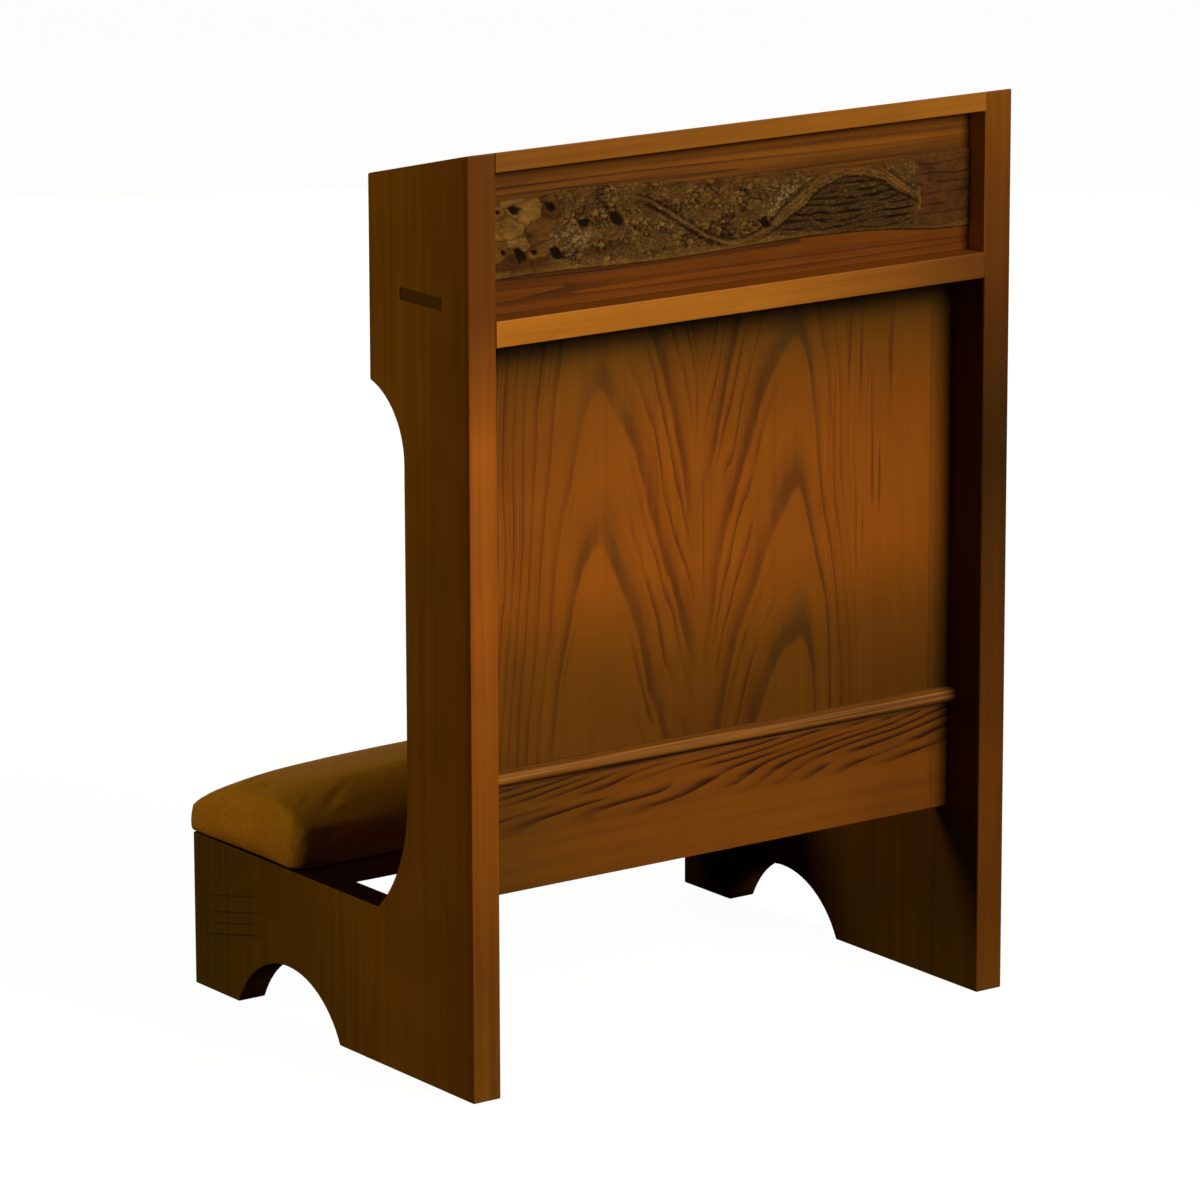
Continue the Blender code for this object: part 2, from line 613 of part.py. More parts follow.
# Pad: a cover with a crowned top, drawn-in sides and a turned-under edge, foam and a board
def pad_form(name, shrink, turn_under):
    """The pad's crowned form, smaller all round by shrink; open below, or closed if nothing turns under."""
    half_length = WIDTH_OVER_SIDES / 2 + PAD_SIDE_OVERHANG - shrink
    half_depth = PAD_DEPTH / 2 - shrink
    top = PAD_EDGE_HEIGHT + PAD_CROWN - shrink
    shape = bmesh.new()
    bmesh.ops.create_grid(shape, x_segments=PAD_CELLS_LONG, y_segments=PAD_CELLS_DEEP, size=1.0)
    share_x = shape.verts.layers.float.new("share_x")
    share_y = shape.verts.layers.float.new("share_y")
    reach = max(vert.co.x for vert in shape.verts)

    def place(vert, inset, height):
        u, v = vert[share_x], vert[share_y]
        vert.co.x = u * (half_length - inset - PAD_DRAW_IN * (1 - v**2))
        vert.co.y = v * (half_depth - inset - PAD_DRAW_IN * (1 - u**2))
        vert.co.z = height

    def crowded(share):
        return math.copysign(1 - (1 - abs(share)) ** PAD_CELL_CROWDING, share)

    for vert in shape.verts:
        vert[share_x] = crowded(vert.co.x / reach)
        vert[share_y] = crowded(vert.co.y / reach)
        along = 1 - abs(vert[share_x]) ** PAD_LONG_POWER
        across = 1 - abs(vert[share_y]) ** PAD_DEEP_POWER
        crown = PAD_END_CROWN + (PAD_CROWN - PAD_END_CROWN) * along
        place(vert, PAD_SHOULDER_INSET, PAD_EDGE_HEIGHT + crown * across)
    rings = [(0.0, PAD_NOSE_SHARE * PAD_EDGE_HEIGHT), (PAD_BASE_INSET, 0.0)]
    if turn_under:
        rings += [(PAD_FLAT_INSET, 0.0), (PAD_FLAT_INSET + turn_under, 0.0)]
    for inset, height in rings:
        rim = [edge for edge in shape.edges if edge.is_boundary]
        made = bmesh.ops.extrude_edge_only(shape, edges=rim)["geom"]
        for vert in made:
            if isinstance(vert, bmesh.types.BMVert):
                place(vert, inset, height)
    if not turn_under:
        bmesh.ops.holes_fill(shape, edges=[edge for edge in shape.edges if edge.is_boundary])
    bmesh.ops.recalc_face_normals(shape, faces=shape.faces)
    cage = bpy.data.meshes.new(name)
    shape.to_mesh(cage)
    shape.free()
    soft = bpy.data.objects.new(name, cage)
    rounding = soft.modifiers.new("rounding", "SUBSURF")
    rounding.levels = 1
    rounding.render_levels = 1
    mesh = evaluated_mesh(soft)
    fit_to_box(mesh, half_length, half_depth, top)
    middle = FRONT + PAD_REAR - PAD_DEPTH / 2
    for vert in mesh.vertices:
        vert.co.y += middle
        vert.co.z += PAD_BASE
    return bpy.data.objects.new(name, mesh)


def fit_to_box(mesh, half_length, half_depth, top):
    """Brings the rounded form out to the pad's real length, depth and height."""
    reach_x = max(abs(vert.co.x) for vert in mesh.vertices)
    reach_y = max(abs(vert.co.y) for vert in mesh.vertices)
    lowest = min(vert.co.z for vert in mesh.vertices)
    highest = max(vert.co.z for vert in mesh.vertices)
    for vert in mesh.vertices:
        vert.co.x *= half_length / reach_x
        vert.co.y *= half_depth / reach_y
        vert.co.z = (vert.co.z - lowest) * top / (highest - lowest)


pad_cover = add(pad_form("pad_cover", 0.0, COVER_TURN_UNDER), VINYL, SHARP_PAD_EDGE)
wall = pad_cover.modifiers.new("cover thickness", "SOLIDIFY")
wall.thickness = COVER_THICKNESS
wall.offset = -1.0

pad_board_low = PAD_BASE + COVER_THICKNESS + TOUCH
pad_board_high = pad_board_low + PAD_BOARD_THICKNESS
pad_board_outline = [
    (PAD_FRONT + PAD_BOARD_INSET, pad_board_low),
    (PAD_REAR - PAD_BOARD_INSET, pad_board_low),
    (PAD_REAR - PAD_BOARD_INSET, pad_board_high),
    (PAD_FRONT + PAD_BOARD_INSET, pad_board_high),
]
pad_board_length = WIDTH_OVER_SIDES + 2 * (PAD_SIDE_OVERHANG - PAD_BOARD_INSET)
pad_board = board("pad_board", eased(pad_board_outline), pad_board_length, PLYWOOD)

pad_foam = add(pad_form("pad_foam", COVER_THICKNESS + 2 * TOUCH, 0.0), FOAM, SHARP_PAD_EDGE)
foam_low = (-WIDTH_OVER_SIDES, PAD_FRONT - PAD_DEPTH, PAD_BASE - PAD_EDGE_HEIGHT)
foam_high = (WIDTH_OVER_SIDES, PAD_REAR + PAD_DEPTH, pad_board_high + TOUCH)
cut_box(pad_foam, "foam_bed", foam_low, foam_high)

# Screws up through the kneeler board into the pad board
pad_screw_length = pad_board_high - PAD_SCREW_COVER - KNEELER_BOTTOM
for hand, sign in HANDS:
    x = sign * PAD_SCREW_LONG_SHARE * WIDTH_OVER_SIDES / 2
    for edge, share in zip(("front", "rear"), PAD_SCREW_DEEP_SHARES):
        depth = PAD_FRONT + PAD_DEPTH * share
        name = f"pad_screw_{hand}_{edge}"
        add_screw(name, (kneeler_board, pad_board), "-z", x, depth, KNEELER_BOTTOM, pad_screw_length)
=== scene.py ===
# %% [markdown]
# A prie-dieu in stained oak: a church kneeler with a sloping desk, a book shelf below it, a panelled front
# and a padded kneeler behind. The boards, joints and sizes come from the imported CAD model. This lesson gives
# them their looks: the figure of the oak, the rough frieze, the upholstered pad, the screws and the light.

# %% Load the frame
import math

import bmesh
import bpy
import numpy as np
from mathutils import Matrix, Vector, noise


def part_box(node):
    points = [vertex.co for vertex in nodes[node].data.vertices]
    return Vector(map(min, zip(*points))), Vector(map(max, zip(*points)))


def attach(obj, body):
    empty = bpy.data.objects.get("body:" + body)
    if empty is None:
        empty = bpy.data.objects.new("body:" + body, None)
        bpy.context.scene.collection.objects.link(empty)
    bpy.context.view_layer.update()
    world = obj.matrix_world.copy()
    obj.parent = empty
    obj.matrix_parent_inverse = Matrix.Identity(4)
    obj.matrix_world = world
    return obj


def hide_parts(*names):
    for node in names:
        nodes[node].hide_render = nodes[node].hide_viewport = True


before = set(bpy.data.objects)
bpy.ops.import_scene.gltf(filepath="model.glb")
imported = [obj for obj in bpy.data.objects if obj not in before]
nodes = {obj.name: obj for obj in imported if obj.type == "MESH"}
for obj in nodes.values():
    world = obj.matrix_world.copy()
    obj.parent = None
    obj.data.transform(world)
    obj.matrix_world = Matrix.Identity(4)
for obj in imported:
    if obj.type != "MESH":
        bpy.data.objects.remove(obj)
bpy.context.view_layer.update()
MM = 0.001

# %% [markdown]
# The photograph was taken from the front left with a long lens, a little above the desk. The camera stands
# where the straight edges of the sides, the rails and the feet line up with it.

# %% Camera
CAMERA_PLACE = Vector((-3.5386, -4.9222, 1.8574))
CAMERA_YAW = math.radians(-35.754)
CAMERA_PITCH = math.radians(13.723)
CAMERA_ROLL = math.radians(-0.140)
SENSOR_MM = 36.0
LENS_MM = 199.21


def placed(name, data):
    """A new object in the scene."""
    made = bpy.data.objects.new(name, data)
    bpy.context.scene.collection.objects.link(made)
    return made


lens = bpy.data.cameras.new("camera")
lens.sensor_width = SENSOR_MM
lens.lens = LENS_MM
camera = placed("camera", lens)
flat = math.cos(CAMERA_PITCH)
back = Vector((math.sin(CAMERA_YAW) * flat, -math.cos(CAMERA_YAW) * flat, math.sin(CAMERA_PITCH)))
right = Vector((math.cos(CAMERA_YAW), math.sin(CAMERA_YAW), 0.0))
right.rotate(Matrix.Rotation(CAMERA_ROLL, 3, back))
turn = Matrix((right, back.cross(right), back)).transposed()
camera.matrix_world = Matrix.Translation(CAMERA_PLACE) @ turn.to_4x4()
bpy.context.scene.camera = camera
bpy.context.scene.view_settings.view_transform = "Standard"
print("camera distance in m:", round(CAMERA_PLACE.length, 2))

# %% [markdown]
# A finish is a small tree of nodes, such as noise, ramps and sums, that ends in a shader. One function adds
# a node with its settings and links, so each line below is one step of the recipe. Colours are written as
# sRGB hex values, as the eye sees them, and one function turns them into the linear light that shaders count
# in.


# %% One function for nodes, one for colours
def linear(hex_colour):
    """An sRGB hex colour as linear red, green and blue, with an alpha of 1."""
    values = [int(hex_colour[start : start + 2], 16) / 255 for start in (0, 2, 4)]
    return (*[v / 12.92 if v <= 0.04045 else ((v + 0.055) / 1.055) ** 2.4 for v in values], 1.0)


def grey(value):
    """A step of a ramp that carries a number."""
    return (value, value, value, 1.0)


def plug(tree, node, inputs):
    """Sets or links inputs of a node, by name or number."""
    for key, value in inputs.items():
        if isinstance(value, bpy.types.Node):
            value = next(output for output in value.outputs if output.enabled)
        if isinstance(value, bpy.types.NodeSocket):
            tree.links.new(value, node.inputs[key])
        else:
            node.inputs[key].default_value = value


def add(tree, kind, *values, sockets=None, stops=None, **settings):
    """Adds a node. Values go to its inputs in order and sockets to inputs by name or number. The stops of a
    ramp are places with a colour or a number."""
    made = tree.nodes.new(kind)
    for name, value in settings.items():
        setattr(made, name, value)
    if stops:
        marks = [(place, colour if isinstance(colour, tuple) else grey(colour)) for place, colour in stops]
        elements = made.color_ramp.elements
        for element, (place, colour) in ((elements[0], marks[0]), (elements[1], marks[-1])):
            element.position = place
            element.color = colour
        for place, colour in marks[1:-1]:
            elements.new(place).color = colour
    plug(tree, made, dict(enumerate(values)) | (sockets or {}))
    return made


print("the sRGB grey 808080 is", round(linear("808080")[0], 3), "of full light")

# %% [markdown]
# Three soft lamps make the studio. The main one stands in front, to the right and above, so the shelf rail
# and the right side throw a narrow shadow on the recessed panel. A weak one stands to the left, a little
# behind, and lights the outside of the left side and the end of the pad. A low one stands behind, so that
# the back can be seen too.

# %% Lamps
LAMPS = (
    # name, degrees right of the front, degrees up, height aimed at, distance, width, watts, colour, shine
    ("main lamp", 17.0, 27.0, 0.45, 4.6, 2.2, 312.0, "FFF0DC", True),
    ("left lamp", -106.0, 27.0, 0.30, 3.0, 0.90, 38.0, "EEF2A8", False),
    ("rear lamp", 150.0, 8.0, 0.45, 4.2, 1.8, 92.0, "FFE0A0", False),
)
for name, azimuth, height, aim, distance, width, watts, colour, shine in LAMPS:
    light = bpy.data.lights.new(name, "AREA")
    light.shape = "DISK"
    light.size = width
    light.energy = watts
    light.color = linear(colour)[:3]
    lamp = placed(name, light)
    a, e = math.radians(azimuth), math.radians(height)
    towards = Vector((math.sin(a) * math.cos(e), -math.cos(a) * math.cos(e), math.sin(e)))
    lamp.location = Vector((0.0, 0.0, aim)) + distance * towards
    lamp.rotation_euler = towards.to_track_quat("Z", "Y").to_euler()
    lamp.visible_glossy = shine
print("lamps:", len(LAMPS))

# %% [markdown]
# The ground is white and has no edge. So the backdrop is white to the camera and lights the object only a
# little, and the floor is plain paper that glows by itself and darkens a little where the feet stand.

# %% Background and floor
AMBIENT = 0.052
BACKDROP = 1.0
FLOOR_HALF = 6.0
FLOOR_GLOW = 0.965


def new_material(name):
    """A new material and its node tree."""
    material = bpy.data.materials.new(name)
    material.use_nodes = True
    return material, material.node_tree


def coat(tree, inputs):
    """Sets or links inputs of a material's shader."""
    plug(tree, tree.nodes["Principled BSDF"], inputs)


world = bpy.data.worlds.new("studio")
world.use_nodes = True
world.cycles_visibility.glossy = False
bpy.context.scene.world = world
sky = world.node_tree
sky.nodes.clear()
rays = add(sky, "ShaderNodeLightPath").outputs
dim = add(sky, "ShaderNodeBackground", grey(1.0), AMBIENT)
bright = add(sky, "ShaderNodeBackground", grey(1.0), BACKDROP)
add(sky, "ShaderNodeOutputWorld", add(sky, "ShaderNodeMixShader", rays["Is Camera Ray"], dim, bright))

floor_mesh = bpy.data.meshes.new("floor")
corners = [(x * FLOOR_HALF, y * FLOOR_HALF, 0.0) for x, y in ((-1, -1), (1, -1), (1, 1), (-1, 1))]
floor_mesh.from_pydata(corners, [], [(0, 1, 2, 3)])
floor = placed("floor", floor_mesh)
floor.visible_diffuse = False
floor.visible_glossy = False

# Matt paper: white all over, without gloss
paper, paper_tree = new_material("white studio paper")
coat(paper_tree, {"Base Color": linear("404040"), "Roughness": 0.9})
coat(paper_tree, {"Emission Color": linear("FFFFFF"), "Emission Strength": FLOOR_GLOW})
floor_mesh.materials.append(paper)
print("floor width in m:", 2 * FLOOR_HALF)

# %% [markdown]
# Oak is coarse and open-grained. Stain sinks into its pores and its soft early wood, so they turn dark, and
# end grain drinks the most. A thin dull varnish goes over it. Every board shares this finish: long streaks
# and short pores that run with the grain, slow changes of tone, and ring lines, which differ by board.

# %% Grain along a board
NOISE_RANGE = (0.3, 0.7)
RING_MM = (34.0, 1700.0)
RING_WAVE = 9.0
RING_STOPS = ((0.0, 0.9), (0.12, 0.5), (0.4, 0.05), (1.0, 0.0))


def stretched(tree, place, along, sizes_mm, detail, seed, spread=None):
    """Noise whose grains are long in the direction of the wood: sizes across it and along it. A spread gives
    the values that its usual range is drawn out to."""
    scale = [1 / (sizes_mm[0] * MM)] * 3
    scale["XYZ".index(along)] = 1 / (sizes_mm[1] * MM)
    drawn = add(tree, "ShaderNodeVectorMath", place, scale, operation="MULTIPLY")
    moved = add(tree, "ShaderNodeVectorMath", drawn, (seed, 2.3 * seed, 4.1 * seed), operation="ADD")
    grains = add(tree, "ShaderNodeTexNoise", sockets={"Vector": moved, "Scale": 1.0, "Detail": detail})
    return add(tree, "ShaderNodeMapRange", grains, *NOISE_RANGE, *spread) if spread else grains


def straight_rings(tree, place, along, seed):
    """Ring lines of a board that was cut along its rings: nearly straight, a little wavy."""
    wave = stretched(tree, place, along, RING_MM, 2.0, seed)
    lines = add(tree, "ShaderNodeMath", wave, RING_WAVE, operation="MULTIPLY")
    saw = add(tree, "ShaderNodeMath", lines, operation="FRACT")
    return add(tree, "ShaderNodeValToRGB", saw, stops=RING_STOPS)


print("a wave of the rings is", RING_MM[0], "mm wide and", RING_MM[1], "mm long")

# %% [markdown]
# Use changes wood by place: hands darken it, light fades it, and dust lies on what looks up. So a patina is a
# tint for the faces that look one way, and it changes along one axis; the same tints also carry painted light
# and shade, where boards are darkened or lightened as light and shadow would do it. It is a ramp on Object
# coordinates, so it stays on the wood from every side.

# %% Tints that follow a face
FACE_TINT_TURN = (0.5, 0.9)


def looking(tree, direction, limits):
    """How far a face looks in a direction such as +Z: 0 up to the first limit, 1 from the second."""
    normal = add(tree, "ShaderNodeNewGeometry").outputs["Normal"]
    part = add(tree, "ShaderNodeSeparateXYZ", normal).outputs[direction[1]]
    turned = add(tree, "ShaderNodeMath", part, float(direction[0] + "1"), operation="MULTIPLY")
    return add(tree, "ShaderNodeMapRange", turned, *limits)


def tinted(tree, colour, amount, tint):
    """A colour times a tint, as far as the amount goes."""
    shades = {0: amount, 6: grey(1.0), 7: tint}
    shade = add(tree, "ShaderNodeMix", sockets=shades, data_type="RGBA").outputs[2]
    return add(tree, "ShaderNodeVectorMath", colour, shade, operation="MULTIPLY")


def with_patina_and_shade(tree, colour, place, direction, axis, marks):
    """A colour with a tint for patina and painted light and shade: the direction that its faces look in, an
    axis, and tints at metres on it.
    """
    low, high = marks[0][0], marks[-1][0]
    part = add(tree, "ShaderNodeSeparateXYZ", place).outputs[axis]
    share = add(tree, "ShaderNodeMapRange", part, low, high)
    stops = [((at - low) / (high - low), (*tint, 1.0)) for at, tint in marks]
    tint = add(tree, "ShaderNodeValToRGB", share, stops=stops)
    return tinted(tree, colour, looking(tree, direction, FACE_TINT_TURN), tint)


print("a patina starts and is full at", FACE_TINT_TURN, "of the way to its direction")

# %% Stained oak
PORE_MM = (1.6, 34.0)
PORE_STOPS = ((0.56, 0.0), (0.70, 1.0))
PORE_DEPTH_MM = 0.12
PORE_STRENGTH = 0.35
STREAK_MM = (9.0, 420.0)
STREAK_STOPS = ((0.38, 0.0), (0.72, 1.0))
CLOUD_MM = (150.0, 150.0)
CLOUD_TONES = (0.86, 1.12)
END_GRAIN_TURN = (0.6, 0.95)
OAK_ROUGHNESS = (0.42, 0.60)
VARNISH = {"IOR": 1.5, "Specular IOR Level": 0.07}


def stained_oak(name, pale, dark, along, seed, rings=None, shares=(0.25, 0.08, 0.25), patina_and_shade=(), end=0.35):
    """The finish of one board. Shares are of rings, pores and streaks, end is how dark end grain is, and
    patina and shade is a list of tints for patina and for painted light and shade, each given as
    with_patina_and_shade takes it."""
    material, tree = new_material(name)
    place = add(tree, "ShaderNodeTexCoord").outputs["Object"]
    pores = stretched(tree, place, along, PORE_MM, 2.0, seed)
    streaks = stretched(tree, place, along, STREAK_MM, 3.0, seed + 7)
    tone = stretched(tree, place, along, CLOUD_MM, 2.0, seed + 13, CLOUD_TONES)
    stain = linear(dark)
    if rings:
        rings, stain = rings(tree, place, stain)
    else:
        rings = straight_rings(tree, place, along, seed + 3)
    pore_lines = add(tree, "ShaderNodeValToRGB", pores, stops=PORE_STOPS)
    streak_lines = add(tree, "ShaderNodeValToRGB", streaks, stops=STREAK_STOPS)
    face = add(tree, "ShaderNodeNewGeometry").outputs["Normal"]
    grain = [float(axis == along) for axis in "XYZ"]
    facing = add(tree, "ShaderNodeVectorMath", face, grain, operation="DOT_PRODUCT").outputs["Value"]
    turned = add(tree, "ShaderNodeMath", facing, operation="ABSOLUTE")
    darkness = add(tree, "ShaderNodeMapRange", turned, *END_GRAIN_TURN, 0.0, end)
    for lines, share in zip((rings, pore_lines, streak_lines), shares):
        darkness = add(tree, "ShaderNodeMath", lines, share, darkness, operation="MULTIPLY_ADD")
    darkness.use_clamp = True
    mixed = {0: darkness, 6: linear(pale), 7: stain}
    wood = add(tree, "ShaderNodeMix", sockets=mixed, data_type="RGBA").outputs[2]
    wood = add(tree, "ShaderNodeVectorMath", wood, sockets={"Scale": tone}, operation="SCALE")
    for direction, axis, marks in patina_and_shade:
        wood = with_patina_and_shade(tree, wood, place, direction, axis, marks)
    rough = add(tree, "ShaderNodeMapRange", darkness, 0.0, 1.0, *OAK_ROUGHNESS)
    pressed = {"Strength": PORE_STRENGTH, "Distance": PORE_DEPTH_MM * MM, "Height": pore_lines}
    relief = add(tree, "ShaderNodeBump", sockets=pressed, invert=True)
    coat(tree, {"Base Color": wood, "Roughness": rough, "Normal": relief, **VARNISH})
    return material


def dress(material, *names):
    """Gives a finish to CAD pieces."""
    for name in names:
        nodes[name].data.materials.clear()
        nodes[name].data.materials.append(material)
    print(material.name, "on", ", ".join(names))


print("pores are", PORE_MM[0], "mm wide and", PORE_MM[1], "mm long")

# %% [markdown]
# The sides are two thick boards with upright grain. Their front edges are the brightest wood on the piece.
# Painted shade gives them a greenish, darker tone at the head, near the floor and on the foot behind.

# %% Tones of the left side
UNTINTED = (1.0, 1.0, 1.0)
TOP_Z = 0.864
FRONT_Y, REAR_Y = -0.235, 0.235
# Painted light and shade on the front edge of the left side: dark at the foot and the head, bright in the
# middle.
left_edge = (
    (0.0, (0.52, 0.66, 0.6)),
    (0.12, (0.48, 0.55, 0.6)),
    (0.30, (0.78, 0.82, 0.8)),
    (0.42, UNTINTED),
    (0.60, UNTINTED),
    (0.72, (0.47, 0.49, 0.4)),
    (TOP_Z, (0.36, 0.42, 0.3)),
)
# Painted shade on the outer faces of both sides: darker and greener than their front edges.
left_face = ((0.0, (0.72, 0.84, 0.5)), (0.30, (0.70, 0.76, 0.5)), (TOP_Z, (0.66, 0.76, 0.5)))
# Painted shade on the outer face of the left side: darker along the front corner and towards the rear, a
# little lighter in between.
left_depth = (
    (FRONT_Y, (0.72, 0.52, 0.4)),
    (-0.226, (0.86, 0.80, 0.8)),
    (-0.150, UNTINTED),
    (-0.10, (1.04, 1.04, 1.0)),
    (0.0, (0.85, 0.92, 0.9)),
    (REAR_Y, (0.44, 0.62, 0.4)),
)
print("tones of the left side:", len(left_edge) + len(left_face) + len(left_depth))

# %% Tones of the right side
# Painted shade on the front edge of the right side, darkest at mid height.
right_edge = (
    (0.0, (0.36, 0.48, 0.5)),
    (0.12, (0.36, 0.40, 0.4)),
    (0.32, (0.26, 0.30, 0.3)),
    (0.52, (0.12, 0.18, 0.2)),
    (0.68, (0.26, 0.28, 0.3)),
    (TOP_Z, (0.52, 0.60, 0.4)),
)
# Painted shade on the inner face of the right side, and painted light on its strip beside the frieze, from
# 0.714 m up.
right_inside = (
    (0.0, (0.38, 0.50, 0.4)),
    (0.20, (0.36, 0.40, 0.4)),
    (0.690, (0.34, 0.36, 0.4)),
    (0.714, (2.3, 3.1, 1.8)),
    (TOP_Z, (2.3, 3.1, 1.8)),
)
# Painted shadow on the inner face of the right side, deeper towards the rear.
right_inside_depth = (
    (FRONT_Y, UNTINTED),
    (-0.05, UNTINTED),
    (0.05, (0.55, 0.5, 0.5)),
    (0.11, (0.2, 0.2, 0.2)),
    (REAR_Y, (0.2, 0.2, 0.2)),
)
print("tones of the right side:", len(right_edge) + len(right_inside) + len(right_inside_depth))

# %% Side boards
# Painted shade: near black on the tops of the feet under the pad, under the arches, and on the faces in the
# arches that look forward.
FOOT_SHADE_TINT = (0.10, 0.12, 0.13)
ARCH_SHADE_TINT = (0.10, 0.12, 0.2)
foot_top = (
    (0.0, UNTINTED),
    (0.13, UNTINTED),
    (0.148, FOOT_SHADE_TINT),
    (0.16, FOOT_SHADE_TINT),
    (0.21, UNTINTED),
    (TOP_Z, UNTINTED),
)
arch_top = ((0.0, ARCH_SHADE_TINT), (0.07, ARCH_SHADE_TINT), (0.09, UNTINTED), (TOP_Z, UNTINTED))
arch_back = ((FRONT_Y, UNTINTED), (-0.02, UNTINTED), (0.03, ARCH_SHADE_TINT), (0.20, ARCH_SHADE_TINT), (REAR_Y, UNTINTED))
arch_and_foot_shade = (("+Z", "Z", foot_top), ("-Z", "Z", arch_top), ("-Y", "Y", arch_back))
left_light_and_shade = (("-Y", "Z", left_edge), ("-X", "Z", left_face), ("-X", "Y", left_depth), *arch_and_foot_shade)
right_light_and_shade = (
    ("-Y", "Z", right_edge),
    ("-X", "Z", right_inside),
    ("-X", "Y", right_inside_depth),
    ("+X", "Z", left_face),
    *arch_and_foot_shade,
)
SIDE_COLOURS = ("8C4D10", "5A2A08")
SIDE_SHARES = (0.2, 0.05, 0.3)
left_oak = stained_oak(
    "stained oak, left side", *SIDE_COLOURS, "Z", 1.0, shares=SIDE_SHARES, patina_and_shade=left_light_and_shade
)
right_oak = stained_oak(
    "stained oak, right side", *SIDE_COLOURS, "Z", 5.0, shares=SIDE_SHARES, patina_and_shade=right_light_and_shade
)
dress(left_oak, "left_side_panel")
dress(right_oak, "right_side_panel")

# %% [markdown]
# Four slanting scuffs cross the left foot near its rear edge. They are narrow dark stops of a ramp, which
# runs up the foot along their common slope, and they fade out at both ends.

# %% Scuffs on the left foot
SCUFF_SLOPE = 0.21
SCUFF_HALF_MM = 1.2
SCUFFS = ((98.0, 0.30), (109.0, 0.5), (120.0, 0.4), (136.0, 0.5))
SCUFF_SPAN_MM = (88.0, 146.0)
SCUFF_ENDS_MM = (105.0, 215.0)
SCUFF_FADE = ((0.0, 0.0), (0.25, 1.0), (0.75, 1.0), (1.0, 0.0))


def mm_parts(tree, place):
    """X, Y and Z of a place in millimetres."""
    in_mm = add(tree, "ShaderNodeVectorMath", place, (1 / MM,) * 3, operation="MULTIPLY")
    return add(tree, "ShaderNodeSeparateXYZ", in_mm).outputs


def colour_of(tree):
    """The socket that a material's colour comes from."""
    return tree.nodes["Principled BSDF"].inputs["Base Color"].links[0].from_socket


scuffed = left_oak.node_tree
_, depth, up = mm_parts(scuffed, add(scuffed, "ShaderNodeTexCoord").outputs["Object"])
leaning = add(scuffed, "ShaderNodeMath", depth, SCUFF_SLOPE, up, operation="MULTIPLY_ADD")
scuff_share = add(scuffed, "ShaderNodeMapRange", leaning, *SCUFF_SPAN_MM)
span_low, span_high = SCUFF_SPAN_MM
scuff_stops = [(0.0, 1.0)]
for level, tone in SCUFFS:
    for offset, value in ((-SCUFF_HALF_MM, 1.0), (0.0, tone), (SCUFF_HALF_MM, 1.0)):
        scuff_stops.append(((level + offset - span_low) / (span_high - span_low), value))
scuff_stops.append((1.0, 1.0))
scuff_tone = add(scuffed, "ShaderNodeValToRGB", scuff_share, stops=scuff_stops)
along_foot = add(scuffed, "ShaderNodeMapRange", depth, *SCUFF_ENDS_MM)
scuff_shown = add(scuffed, "ShaderNodeValToRGB", along_foot, stops=SCUFF_FADE)
coat(scuffed, {"Base Color": tinted(scuffed, colour_of(scuffed), scuff_shown, scuff_tone)})
print("scuffs:", len(SCUFFS))

# %% [markdown]
# The front panel is flat-sawn oak with two hearts side by side. Flat-sawn boards show cathedrals: a ring is
# a cone round the heart, so the cut through it is a pointed arch. Its height falls with the distance from
# the heart line, and where the legs of two hearts meet, the lesser height counts and they form a V.

# %% Arches round two hearts
HEARTS = (
    # middle and top arch in mm, first and second power of the outer and the inner fall, outer side, arches
    (-126.0, 622.0, (0.0, 0.065), (1.85, 0.009), -1, 2),
    (92.0, 645.0, (0.5, 0.12), (0.6, 0.02), 1, 3),
)
ARCH_STEP_MM = 142.0
ARCH_ROUND_MM = 8.0
LAST_ARCH = (0.45, 0.8)


def heart_arches(tree, across, up):
    """For each heart: its arches as a rising number, the way from its middle, and where its arches end."""
    found = []
    for middle, top, outer_fall, inner_fall, outer_side, arches in HEARTS:
        fall = up
        offset = add(tree, "ShaderNodeMath", across, middle, operation="SUBTRACT")
        for (first, second), side in ((outer_fall, outer_side), (inner_fall, -outer_side)):
            turned = add(tree, "ShaderNodeMath", offset, float(side), operation="MULTIPLY")
            reach = add(tree, "ShaderNodeMath", turned, 0.0, ARCH_ROUND_MM, operation="SMOOTH_MAX")
            slope = add(tree, "ShaderNodeMath", reach, second, first, operation="MULTIPLY_ADD")
            fall = add(tree, "ShaderNodeMath", reach, slope, fall, operation="MULTIPLY_ADD")
        level = add(tree, "ShaderNodeMath", fall, top, operation="SUBTRACT")
        field = add(tree, "ShaderNodeMath", level, ARCH_STEP_MM, operation="DIVIDE")
        away = add(tree, "ShaderNodeMath", offset, operation="ABSOLUTE")
        limits = [limit - arches for limit in LAST_ARCH]
        found.append((field, away, add(tree, "ShaderNodeMapRange", field, *limits)))
    return zip(*found)


print("hearts:", len(HEARTS))

# %% Fine strokes between the arches
STROKE_MM = (3.6, 120.0)
STROKE_STOPS = ((0.62, 0.0), (0.74, 0.75))
STROKES_START_MM = (110.0, 140.0)
STROKES_END_MM = (192.0, 200.0)
STROKES_FOOT_MM = (400.0, 450.0)
STROKES_BY_SEAM = (0.5, 1.2, 0.8, 0.0)


